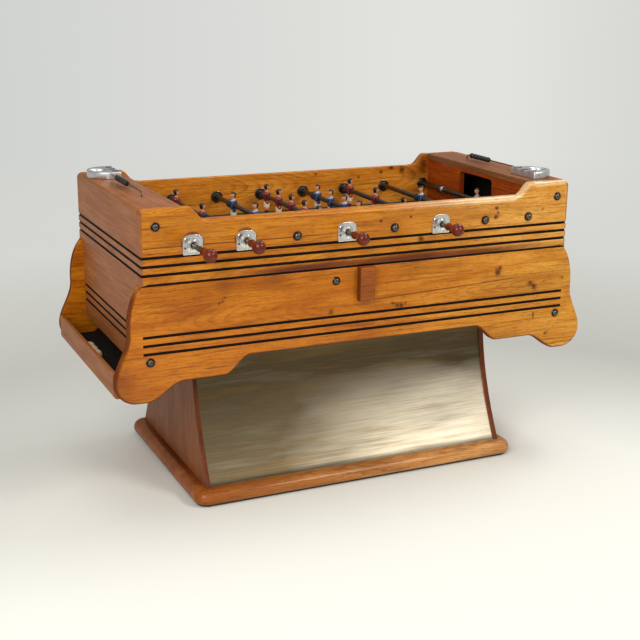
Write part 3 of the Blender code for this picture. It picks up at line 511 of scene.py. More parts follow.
def brushed_sheet_finish(name):
    """Steel sheet brushed along its length, with a warm lacquer gone brown from the top and the left end,
    partly as painted shade under the apron.

    To the eye: fine level lines drawn 2 mm apart, long soft reflections, brown patina fading to pale metal;
    the pale metal brightest at the lower right is partly a painted reflection, and a dark band at the foot is
    painted shadow.
    """
    made, tree, shader = finish(name, metallic=1.0)
    spot = node(tree, "TexCoord").outputs["Object"]
    parts = node(tree, "SeparateXYZ", {0: spot}).outputs
    brush = noise(tree, spot, (4.0, 380.0, 380.0), 4.0, 0.65)
    cloud = noise(tree, spot, (2.5, 9.0, 9.0), 4.0)
    patch = noise(tree, spot, (2.6, 14.0, 34.0), 5.0, 0.65)
    # Brown from the top and the left end, pale toward the lower right: partly patina, partly painted shade
    # and painted reflection.
    rise = number(tree, "MULTIPLY_ADD", cloud, 0.14, parts[2])
    along = number(tree, "MULTIPLY_ADD", cloud, 0.50, parts[0])
    bare = number(tree, "MULTIPLY", ranged(tree, rise, 0.39, 0.29), ranged(tree, along, 0.0, 0.62, 0.04, 1.0))
    tone = blend(tree, bare, colour("#65573F"), colour("#F0E7D0"))
    # The near-black band below z 0.066 is painted shadow at the sheet's foot.
    for code, *spread in (
            ("#8E7040", patch, 0.48, 0.30, 0.0, 0.42), ("#8C8874", patch, 0.52, 0.70, 0.0, 0.46),
            ("#564730", brush, 0.35, 0.7, 0.0, 0.40), ("#2E271D", parts[2], 0.054, 0.066, 0.75, 0.0),
            ("#85785C", rise, 0.45, 0.51, 0.0, 0.45)):
        tone = tinged(tree, tone, code, *spread)
    wire_up(tree, shader, tone, ranged(tree, brush, 0.3, 0.7, 0.34, 0.5), brush, 0.25, 0.0003)
    return made


# Stains are (x, z, half width, half height, sharpness, strength), knots (x, z, radius),
# joints (x and z of one end, x and z of the other, strength).
old_plate_marks = tuple((x, ROD_Z + 0.004, 0.035, 0.035, 0.95, 0.75) for x in (-0.56, -0.40))
rust_rings = tuple((x, z, 0.019, 0.019, 0.55, 0.45) for x, z in (
    (-0.24, ROD_Z), (0.08, ROD_Z), (0.40, ROD_Z), (0.56, ROD_Z), (0.667, 0.871), (-0.667, 0.871)))
side_look = dict(
    light="#CC8524", middle="#AC620C", dark="#673006", heart=(1.2, -0.33, 0.70), seed=0.7,
    joints=((-0.72, 0.811, -0.13, 0.811, 0.75),),
    stains=old_plate_marks + rust_rings + (
        # The long stains along z 0.711 to 0.715 are painted shade under the side's rounded lower edge at the
        # seam.
        (-0.23, 0.713, 0.21, 0.018, 0.3, 0.95), (0.14, 0.713, 0.24, 0.018, 0.3, 0.9),
        (0.38, 0.711, 0.14, 0.014, 0.3, 0.8), (0.20, 0.715, 0.62, 0.018, 0.5, 0.65)),
    knots=((0.441, 0.848, 0.005), (0.440, 0.820, 0.006), (0.446, 0.834, 0.003), (0.615, 0.833, 0.003),
           (0.033, 0.837, 0.004), (0.135, 0.842, 0.004), (0.172, 0.771, 0.008)))
# Front side: paler toward the right as painted light; edges that look down or left darkened as painted shade.
oak_side = oak("varnished_oak_side", toward=("#EAB058", "#CC882E", 0.10, 0.60), edges=0.8, **side_look)
# Rail: glossier varnish, and paler toward the right as a painted highlight.
oak_rail = oak("glossy_oak_rail_painted_highlight", coat=1.0, coat_roughness=0.24,
               toward=("#EAC68C", "#D8A868", 0.05, 0.45), **side_look)
oak_back = oak("varnished_oak_back", "#DC9234", "#BC6C16", "#6C3408", heart=(-1.3, 0.33, 0.84), seed=9.4,
               figured=0.6, face=BACK,
               stains=((0.562, 0.885, 0.030, 0.050, 0.2, 0.85), (0.520, 0.850, 0.050, 0.030, 0.1, 0.6)),
               knots=((0.476, 0.866, 0.008), (0.43, 0.876, 0.006), (0.39, 0.862, 0.005), (0.13, 0.868, 0.004),
                      (0.30, 0.850, 0.004)))
# Apron: paler toward the right as painted light; edges that look down or left darkened as painted shade.
oak_apron = oak(
    "varnished_oak_apron", "#C87A14", "#A85A06", "#622C03", heart=(0.75, -0.345, 0.588), seed=3.1,
    edges=0.9, figured=0.32, toward=("#DE9E3C", "#BE781C", 0.0, 0.65),
    joints=((0.02, 0.595, 0.55, 0.616, 0.75),),
    stains=((-0.309, 0.690, 0.075, 0.040, 0.1, 0.45), (-0.464, 0.690, 0.035, 0.045, 0.1, 0.35),
            (0.605, 0.482, 0.005, 0.018, 0.5, 0.8), (0.460, 0.645, 0.016, 0.016, 0.2, 0.5),
            (-0.775, 0.430, 0.045, 0.080, 0.1, 0.35), (0.69, 0.481, 0.019, 0.019, 0.55, 0.45),
            (-0.69, 0.481, 0.019, 0.019, 0.55, 0.35)),
    knots=((-0.473, 0.640, 0.004), (-0.465, 0.649, 0.004), (-0.481, 0.634, 0.004), (0.602, 0.579, 0.008),
           (0.585, 0.592, 0.006), (0.594, 0.586, 0.004), (0.710, 0.600, 0.004), (0.467, 0.6525, 0.006),
           (0.460, 0.637, 0.008), (0.452, 0.650, 0.003), (0.657, 0.415, 0.005), (0.668, 0.420, 0.003),
           (-0.127, 0.570, 0.006), (0.098, 0.569, 0.006), (0.083, 0.575, 0.005), (0.113, 0.566, 0.007),
           (0.128, 0.573, 0.004)))
# Block: edges that look down or left darkened as painted shade.
oak_block = oak("red_oak_block", "#A85A20", "#8E4816", "#5A2A0A", heart=(0.5, -0.3, 0.7), seed=1.9,
                figured=0.3, edges=0.8)
oak_end = oak("satin_oak_end", "#A6693A", "#925428", "#6E3E1C", grain="y", heart=(-1.0, 0.7, 0.6), seed=5.3,
              roughness=(0.42, 0.58), coat=0.12, figured=0.3)
# Shelf: darker toward the right end, as painted shade.
oak_shelf = oak("satin_oak_shelf", "#AA6C42", "#905834", "#5E341C", grain="y", heart=(-0.8, 0.6, 0.86),
                seed=8.9, roughness=(0.36, 0.5), coat=0.08, figured=0.3,
                toward=("#96603A", "#7C4A2A", 0.0, 0.5))
oak_goal = oak("dark_oak_goal_wall", "#B44E12", "#8E3608", "#4E1C04", grain="y", heart=(-0.9, -0.6, 0.7),
               seed=2.4)
oak_upright = oak("dark_oak_pedestal_end", "#965A30", "#7C4824", "#542E18", grain="z", heart=(-0.6, 0.0, 0.5),
                  seed=4.6, roughness=(0.42, 0.58), coat=0.1, figured=0.3)
oak_edge = oak("red_oak_edge", "#7C3C18", "#602A10", "#3A1608", grain="z", heart=(-0.6, 0.0, 0.5), seed=7.4,
               figured=0.3)
# Plinth: paler toward the right as painted light; the two stains at the pedestal's ends are painted shade in
# the crevice.
oak_plinth = oak("red_oak_plinth", "#A86026", "#8A4818", "#54280A", heart=(-1.1, -0.3, -0.1), seed=6.2,
                 coat=0.2, toward=("#F0B474", "#D2904C", -0.50, 0.45), face=0.0,
                 stains=((-0.524, 0.050, 0.014, 0.020, 0.3, 0.9), (0.524, 0.050, 0.014, 0.020, 0.3, 0.9)))
# Black paint brushed into the grooves: near black, with a dull gloss where it is thick.
# The same black is painted shadow along the seam under the play box, at the foot of the plinth and inside
# the rod and pin holes.
black_paint_and_painted_shade = speckled("black_groove_paint_and_painted_shade", "#070504", "#140C07", 90.0, (0.5, 0.65),
                        specular_ior_level=0.15)
# Black painted board of the ball run: matt, dusty in its hollows. The same black covers the end boards'
# inner faces behind the goals.
run_paint = speckled("dusty_black_paint", "#0A0806", "#18130E", 40.0, (0.7, 0.85), specular_ior_level=0.2)
# Playing field of dark green linoleum: rubbed along the ball's ways.
field_lino = speckled("dark_green_linoleum", "#0C1F18", "#1B3428", 22.0, (0.35, 0.6), stretch=(1.0, 2.5, 1.0))
sheet_steel = brushed_sheet_finish("brushed_steel_patina_painted_shade")
# Oxidised steel of rods, discs and bolts: brown-black, rubbed brighter on high spots, marks drawn 3 mm wide.
dark_steel = speckled("oxidised_steel", "#6E685F", "#403B35", 300.0, (0.24, 0.42), metallic=1.0)
# The same steel made black in the hollow round each head: painted shadow.
steel_painted_shadow = speckled("steel_painted_shadow_ring", "#2A2723", "#171512", 300.0, (0.35, 0.5), metallic=1.0)
# Cast aluminium, filed and polished by hands: grey-white, soft cast skin drawn 4 mm wide.
cast_alloy = speckled("cast_aluminium", "#F2F1EF", "#D0CECA", 240.0, (0.18, 0.34), metallic=1.0, bump=0.10)
# Cast aluminium of the ashtrays, rubbed dull by ash and cloth: even grey-white, no mirror.
tray_alloy = speckled("dull_cast_aluminium", "#D8D9DA", "#BEBFC0", 160.0, (0.34, 0.46), metallic=1.0,
                      bump=0.06)
# Turned beech, stained red-brown under thick gloss varnish: deep colour and one sharp highlight.
handle_wood = speckled("stained_turned_beech", "#702306", "#461203", 60.0, (0.3, 0.4), bump=0.02,
                       stretch=(1.0, 0.2, 1.0), specular_ior_level=0.1, coat_weight=0.5, coat_roughness=0.03)
# Black natural rubber: matt, greyed by dust.
rubber = speckled("black_rubber", "#161514", "#262422", 160.0, (0.5, 0.7))
# Black pressed plastic beads: glossy, scuffed.
bead_plastic = speckled("black_bead_plastic", "#0E0D0C", "#1E1B18", 200.0, (0.2, 0.4))
# Enamel on the cast men: half gloss, chipped tone from flake to flake, flakes drawn 4 mm wide.
enamel = {key: speckled(f"enamel_{key}", *codes, 260.0, (0.28, 0.45), bump=0.2) for key, *codes in (
    ("red", "#84222A", "#621820"), ("blue", "#28426E", "#1A2C4E"), ("cream", "#E2D6B4", "#CDBD94"),
    ("flesh", "#D79A7A", "#BC7D5E"), ("black", "#16120F", "#241D18"), ("maroon", "#5E1C20", "#441317"),
    ("navy", "#1B2A52", "#131E3C"), ("pale", "#B9C0CB", "#9EA7B4"))}
# Boxwood balls: pale, rolled dull.
ball_wood = speckled("pale_boxwood_balls", "#E6CFA8", "#CDB184", 120.0, (0.4, 0.6))


# Cabinet


def rod_x(rod):
    """Place of a rod along the table."""
    return ROD_PITCH * (rod - 3.5)


side_shape = side_outline()
along, rise = np.abs(side_shape[:, 0]), side_shape[:, 1]
# Outer edges of a side: well rounded rail and raised ends, tighter S curves, upright corners and seam.
side_edge = np.select(
    [rise < SEAM_Z + NEAR, along > HALF_LENGTH - SIDE_CORNER - NEAR, along > RISE_END + EDGE_RUN / 2,
     along > RISE_END - RISE_LENGTH - NEAR],
    [np.where(along > HALF_LENGTH - NEAR, 0.005, 0.010),
     0.006 + 0.0065 * (rise - TOP_Z + SIDE_CORNER) / SIDE_CORNER, 0.0155, 0.0085], 0.018)
# Finishes of a side: 0 oak, 1 black painted shadow along the seam, 2 end grain, 3 rail with glossier,
# hand-rubbed varnish and a painted highlight.
across, rise = middles(side_shape).T
side_tints = np.where(np.abs(across) > HALF_LENGTH - 0.004, 2, np.where(rise > RAIL_Z - NEAR, 3, 0))
side_tints = side_tints * np.ones((9, 1), int)
side_tints[5:] = np.where(side_tints[5:] == 3, 0, side_tints[5:])
side_tints[1:] = np.where(rise < SEAM_Z + 1e-4, 1, side_tints[1:])
# Outer edges of an apron: tight at the seam, well rounded below, most at the feet.
apron_shape = apron_outline()
along, rise = np.abs(apron_shape[:, 0]), apron_shape[:, 1]
apron_edge = np.where(rise > SEAM_Z - 0.004, 0.004, np.interp(along, (0.60, 0.74), (0.0095, 0.0125)))
# Finishes of an apron: 0 oak, 1 black painted shadow along the seam at the top.
apron_tints = np.where(middles(apron_shape)[:, 1] > SEAM_Z - NEAR, 1, 0) * np.ones((9, 1), int)
apron_tints[[0, 1, 4, 7, 8]] = 0

for name, sign, plain, rubbed in (("front", -1, oak_side, oak_rail), ("back", 1, oak_back, oak_back)):
    low, high = sorted((sign * HALF_DEPTH, sign * SIDE_INNER))
    holes = []
    for rod, (handle, _) in enumerate(RODS):
        radius = (SPIGOT_RADIUS if handle == name else SHANK_RADIUS) + ROD_FIT
        reach = [(low - BOARD, 0), (low - BOARD, radius), (high + BOARD, radius), (high + BOARD, 0)]
        holes.append(turned(reach, x=rod_x(rod), z=ROD_Z))
    depth = np.array([-GROOVE_DEPTH, GROOVE_DEPTH])
    face = sign * HALF_DEPTH
    grooves = groove_blocks(BOX_GROOVE, (-2 * HALF_LENGTH, 2 * HALF_LENGTH), face + depth)
    round_ends = [cut for end in (-HALF_LENGTH, HALF_LENGTH)
                  for cut in groove_blocks(BOX_GROOVE, end + depth, (face * 1.02, face * 0.85))]
    plank(f"play_box_{name}_side_oak", side_shape, (low, high), ALONG_Y, (side_edge, INNER_EDGE)[::-sign],
          [plain, black_paint_and_painted_shade, oak_end, rubbed], "oak", f"play_box_{name}_side",
          [(grooves + holes, [black_paint_and_painted_shade]), (round_ends, [black_paint_and_painted_shade])],
          tints=side_tints[::-sign], end_tint=0)
    face = sign * APRON_FACE
    grooves = groove_blocks(APRON_GROOVE, (-HALF_LENGTH, HALF_LENGTH), face + depth)
    plank(f"{name}_apron_oak", apron_shape, (face, sign * APRON_INNER), ALONG_Y,
          (apron_edge, INNER_EDGE)[::-sign], [oak_apron, black_paint_and_painted_shade], "oak", f"{name}_apron",
          [(grooves, [black_paint_and_painted_shade])], tints=apron_tints, end_tint=0)

box_span, apron_span = (-BETWEEN_SIDES, BETWEEN_SIDES), (-BETWEEN_APRONS, BETWEEN_APRONS)
for end, sign in (("left", -1), ("right", 1)):
    lower_inner = LOWER_FACE - LOWER_THICK
    for level, face, inner, low, top, groove, top_round, span in (
            ("play_box", HALF_LENGTH, END_INNER, SEAM_Z, TOP_Z, BOX_GROOVE, 0.009, box_span),
            ("lower", LOWER_FACE, lower_inner, LOWER_LOW, SEAM_Z - GAP, APRON_GROOVE, 0.001, apron_span)):
        section = facing(grooved_outline(face, inner, low, top, groove, top_round), sign)
        plank(f"{level}_{end}_end_oak", section, span, ALONG_Y, FINE_ARRIS,
              [oak_end, black_paint_and_painted_shade, run_paint], "oak", f"{level}_{end}_end",
              tints=groove_tints(section, face))
    nose, under, back, round_edge = WALL_X - SHELF_NOSE, TOP_Z - SHELF_THICK, END_INNER - GAP, 0.004
    section = np.concatenate([[(nose, under), (back, under), (back, TOP_Z)],
                              arc((nose + round_edge, TOP_Z - round_edge), round_edge, 90, 180, 5)])
    plank(f"{end}_shelf_oak", facing(section, sign), box_span, ALONG_Y, FINE_ARRIS, [oak_shelf], "dark_oak",
          f"{end}_end_shelf")
    section = np.concatenate([
        [(LIP_INNER, LIP_LOW)],
        arc((LIP_INNER, LIP_LOW + LIP_ROUND), (LIP_FACE - LIP_INNER, LIP_ROUND), -85, 0, 8),
        arc((LIP_FACE - round_edge, LIP_TOP - round_edge), round_edge, 0, 90, 5), [(LIP_INNER, LIP_TOP)]])
    plank(f"{end}_lip_oak", facing(section, sign), apron_span, ALONG_Y, FINE_ARRIS, [oak_end], "dark_oak",
          f"{end}_trough_lip")
    top = under - GAP
    wall = [(-BETWEEN_SIDES, SEAM_Z), (BETWEEN_SIDES, SEAM_Z), (BETWEEN_SIDES, top), (-BETWEEN_SIDES, top)]
    mouth = both_halves(np.concatenate([
        [(0.0, FIELD_Z), (GOAL_HALF, FIELD_Z)],
        arc((GOAL_HALF - GOAL_CORNER, GOAL_TOP - GOAL_CORNER), GOAL_CORNER, 0, 90, 8), [(0.0, GOAL_TOP)]]))
    low, high = sorted((sign * WALL_X, sign * (WALL_X + WALL_THICK)))
    piece(f"{end}_goal_wall_oak", [board(wall, low, high, ALONG_X, FINE_ARRIS)], [oak_goal],
          stands_for=[f"{end}_goal_wall"],
          cuts=[([board(mouth, low - WALL_THICK, high + WALL_THICK, ALONG_X, 0.0)], [oak_goal])])

cover = [(COVER_X[right], COVER_Z[top]) for right, top in ((0, 0), (1, 0), (1, 1), (0, 1))]
plank("front_cover_block_oak", cover, COVER_Y, ALONG_Y, (0.005, 0.0005), [oak_block], "oak",
      "front_cover_block")

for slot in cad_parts["playfield_board"].material_slots:
    slot.material = field_lino

# The lino is turned up along both sides: a hollow quarter round of 14 mm between field and board.
# Its dark strip at the foot of the far side also stands for the shade there.
cove_y, cove_z, foot_y, foot_z = (BETWEEN_SIDES - COVE - 2 * COVE_GAP, FIELD_Z + COVE + 2 * COVE_GAP,
                                  BETWEEN_SIDES - COVE_GAP, FIELD_Z + COVE_GAP)
cove = np.concatenate([arc((cove_y, cove_z), COVE, -90, 0, 10),
                       [(foot_y, cove_z), (foot_y, foot_z), (cove_y, foot_z)]])
reach = WALL_X - FINE_ARRIS
coves = [board(facing(cove[::-1], sign), -reach, reach, ALONG_X, 0.0) for sign in (-1, 1)]
piece("field_cove_lino", coves, [field_lino])

# Ball run: level over the pedestal, sloping to both troughs; black on top, bare oak below and on its edges.
under = np.array([(0.0, RUN_Z), (PEDESTAL_HALF + 0.010, RUN_Z), (RUN_SLOPE, RUN_Z - RUN_DROP),
                  (RUN_REACH, RUN_Z - RUN_DROP - RUN_FALL)])
run_shape = both_halves(np.concatenate([under, under[::-1] + (0.0, RUN_THICK)]))
upper = np.roll(run_shape, -1, axis=0)[:, 0] < run_shape[:, 0]
plank("ball_run_floor_painted", run_shape, apron_span, ALONG_Y, 0.0004, [run_paint, oak_end], "black_run",
      "ball_run_floor", tints=np.where(upper, 0, 1), end_tint=1)

# Pedestal and plinth

edge = sheet_line(SHEET_SET)
upright = np.concatenate([edge, (edge * (-1, 1))[::-1]])
upright_tints = np.ones((9, len(upright)), int)
upright_tints[[0, -1]] = 0
for end, sign in (("left", -1), ("right", 1)):
    span = sign * PEDESTAL_HALF, sign * (PEDESTAL_HALF - PEDESTAL_THICK)
    plank(f"pedestal_{end}_end_oak", upright, span, ALONG_X, 0.003, [oak_upright, oak_edge], "dark_oak",
          f"pedestal_{end}_end", tints=upright_tints)


def sheet_rings(sign):
    """Hollow sheet, station by station along X; slow sine waves of 0.3 mm make it look hand bent."""
    across = np.linspace(-SHEET_HALF, SHEET_HALF, 80)[:, None]
    band = np.concatenate([sheet_line(0.0), sheet_line(-SHEET_THICK)[::-1]])
    wave = 0.0003 * (np.sin(9 * across + 14 * band[:, 1]) + np.sin(23 * across - 31 * band[:, 1])) - 0.0006
    rings = np.empty((len(across), len(band), 3))
    rings[..., 0] = across
    rings[..., 1] = sign * (band[:, 0] + wave)
    rings[..., 2] = band[:, 1]
    return rings


for name, sign in (("front", -1), ("back", 1)):
    piece(f"pedestal_{name}_sheet_steel", [shell(sheet_rings(sign))], [sheet_steel],
          stands_for=[f"pedestal_{name}_sheet"])

plinth = np.concatenate([
    arc((sx * (PLINTH_HALF_LENGTH - PLINTH_CORNER), sy * (PLINTH_HALF_DEPTH - PLINTH_CORNER)), PLINTH_CORNER,
        start, start + 90, 12) for sx, sy, start in ((1, 1, 0), (-1, 1, 90), (-1, -1, 180), (1, -1, 270))])
# The lowest rows of the plinth's rounding are black: painted contact shadow at the floor.
plank("plinth_oak", plinth, (0.0, PLINTH_HEIGHT), ALONG_Z, PLINTH_ROUNDS, [oak_plinth, black_paint_and_painted_shade],
      "dark_oak", "plinth", tints=np.where(np.arange(17) < 5, 1, 0), steps=9, end_tint=0)

# Rods


def values_of(items, key, kind=np.int32, width=1):
    """One attribute of all points, corners or faces of a mesh."""
    values = np.empty(len(items) * width, kind)
    items.foreach_get(key, values)
    return values


def bored(skin):
    """The skin with a round hole along Y, hidden in the tube's wall, so that the guide rod slides through."""
    hole = turned([(-0.03, 0), (-0.03, MAN_BORE), (0.03, MAN_BORE), (0.03, 0)])
    made, tool = (added("bored", mesh_of("bored", shells, ())) for shells in ([skin], [hole]))
    mesh = carved(made, [tool], "INDEX")
    bpy.data.objects.remove(made, do_unlink=True)
    points = values_of(mesh.vertices, "co", float, 3).reshape(-1, 3)
    faces = np.split(values_of(mesh.loops, "vertex_index"), values_of(mesh.polygons, "loop_start")[1:])
    return points, np.empty((0, 4), int), faces, values_of(mesh.polygons, "material_index")


def man_skin(facing_x, swing):
    """A cast man: ovals stacked from sole to crown, drawn in between the legs, plain nose and eye hollows.

    Oval at height z: half width and half depth from the table, x pushed forward; arms are bent round bars,
    one swung ahead. Finishes: 3 shirt, 4 shorts, 5 skin, 6 socks, 7 hair and shoes, 8 collar.
    """
    table = MM * np.array([
        (-72, 8.5, 9.5, 2.5), (-70, 9.0, 10.2, 2.5), (-64, 8.8, 8.8, 1.2), (-60, 7.4, 6.2, 0),
        (-53, 7.6, 6.2, 0), (-45, 8.0, 6.4, 0), (-38, 8.4, 7.0, 0), (-36.5, 10.2, 9.8, 0),
        (-26, 10.6, 10.4, 0), (-14, 10.0, 10.0, 0), (-6, 10.6, 11.6, 0), (4, 12.0, 13.8, 0),
        (11, 12.6, 13.8, 0), (15.0, 11.2, 10.8, 0), (18.2, 6.2, 6.2, 0), (21.2, 4.2, 4.6, 0),
        (23.6, 5.2, 6.4, 0.8), (28.2, 7.4, 8.8, 0.8), (33.8, 8.3, 9.7, 0.4), (38.4, 7.8, 9.0, 0),
        (41.8, 5.6, 6.5, 0), (43.2, 2.8, 3.3, 0), (43.5, 0, 0, 0)])
    marks = np.array([-0.062, -0.045, -0.037, -0.014, 0.0175])
    body, head = np.linspace(-0.072, 0.022, 36), np.linspace(0.022, 0.0435, 18)
    level = np.unique(np.concatenate([body, head, table[:, 0], marks]))
    wide, deep, forward = (np.interp(level, table[:, 0], column)[:, None] for column in table.T[1:])
    angle = turn_angles(28) + np.pi / 28
    rise, across, ahead = level[:, None], wide * np.sin(angle), forward + deep * np.cos(angle)
    legs = np.clip((-0.028 - rise) / 0.006, 0, 1) * np.clip((rise + 0.068) / 0.004, 0, 1)
    ahead *= 1 - 0.45 * legs * np.exp(-(across / 0.0020) ** 2)
    front = np.clip(np.cos(angle), 0, 1)
    nose = ((rise - 0.0305) / 0.0024) ** 2 + (across / 0.0018) ** 2
    eyes = ((rise - 0.0335) / 0.0014) ** 2 + ((np.abs(across) - 0.0034) / 0.0015) ** 2
    ahead += front * (0.0018 * np.exp(-nose) - 0.0009 * np.exp(-eyes))
    rings = np.stack([ahead, across, np.broadcast_to(rise, across.shape)], axis=-1)
    zone = np.searchsorted(marks, (level[1:] + level[:-1]) / 2)
    tint = np.array([7, 6, 5, 4, 3, 5])[zone][:, None] * np.ones((1, 28), int)
    middle = (rings[1:] + rings[:-1]) / 2
    x, y, z = np.moveaxis((middle + np.roll(middle, -1, axis=1)) / 2, -1, 0)
    tint[(z > 0.0368) | ((z > 0.0245) & (x < -0.0008))] = 7
    tint[(tint == 4) & (z > -0.014 - 0.010 * (y / 0.010) ** 2)] = 3
    tint[np.abs(z - 0.0170 + 0.25 * np.clip(x, 0, 1)) < 0.0010] = 8
    skins = [(rings, tint)]
    t = np.linspace(0, 1, 15)
    for side in (-1, 1):
        line = np.column_stack([0.0005 + 0.0032 * np.sin(np.pi * t) + swing * side * np.sqrt(t),
                                side * (0.0096 + 0.0004 * np.sin(np.pi * t)), 0.0125 - 0.033 * t])
        girth = 0.0032 * np.sqrt(np.clip(np.minimum(t, 1 - t) * 9, 0, 1))
        ring = np.stack([np.cos(turn_angles(12)), np.sin(turn_angles(12)), np.zeros(12)], axis=-1)
        arm_tint = np.where(t[1:] < 0.8, 3, 5)[:, None] * np.ones((1, 12), int)
        skins.append((line[:, None] + girth[:, None, None] * ring, arm_tint))
    return [bored(shell(part * (facing_x, facing_x, 1), tint)) for part, tint in skins]


def buffer_line(start):
    """Profile of a rubber buffer from its inner to its outer end, slightly fuller in the middle."""
    end, round_edge, fuller = start + BUFFER_LENGTH, 0.0028, 0.0003
    rise = arc((start + round_edge, BUFFER_RADIUS - round_edge), (-round_edge, round_edge), 0, 90, 4)
    fall = ((start + end, 0) + rise * (-1, 1))[::-1]
    crown = ((start + end) / 2, BUFFER_RADIUS + fuller)
    return np.concatenate([[(start, TUBE_RADIUS)], rise, [crown], fall, [(end, TUBE_RADIUS)]])


def plate_shell(x, sign):
    """Cast bearing plate: rings pass from its arched outline over a flat face to a ringed boss and bore."""
    half, low, corner = 0.030, -0.028, 0.003
    crown = arc((0, 0), 1, 0, 180, 40)
    crown = np.sign(crown) * np.abs(crown) ** 0.72 * (half, 0.020) + (0, 0.010)
    foot = [arc((side * (half - corner), low + corner), corner, start, start + 90, 5)
            for side, start in ((-1, 180), (1, 270))]
    sides = np.linspace((-half, 0.008), (-half, -0.022), 8)
    bottom = np.linspace((-0.026, low), (0.026, low), 14)
    outline = np.concatenate([crown, sides, foot[0], bottom, foot[1], sides[::-1] * (-1, 1)])
    round_way = outline / np.linalg.norm(outline, axis=1, keepdims=True)
    rows = [(round_way * BEARING_BORE, -PLATE_THICK), (outline, -PLATE_THICK)]
    rows += [(outline * share, MM * out) for share, out in (
        (1, -1.2), (0.985, -0.3), (0.965, 0), (0.925, 0), (0.900, -1.0), (0.850, -1.0), (0.825, -0.2))]
    rows += [(outline * 0.825 * (1 - s) + round_way * 0.0185 * s, 0.0002 * (s - 1)) for s in (0.3, 0.6, 0.9)]
    rows += [(round_way * MM * radius, MM * out) for radius, out in (
        (17.8, 0.4), (17.0, 1.8), (16.2, 4.6), (15.6, 5.4), (14.6, 5.6), (13.9, 5.2), (13.6, 4.0),
        (13.0, 4.0), (12.6, 6.6), (12.0, 7.8), (10.8, 8.0), (10.0, 7.6), (BEARING_BORE / MM, 7.4))]
    rings = np.stack([np.column_stack([x + flat[:, 0] * -sign, np.full(len(flat), sign * (PLATE_OUT + out)),
                                       ROD_Z + flat[:, 1]]) for flat, out in rows])
    return shell(rings, loop=True)


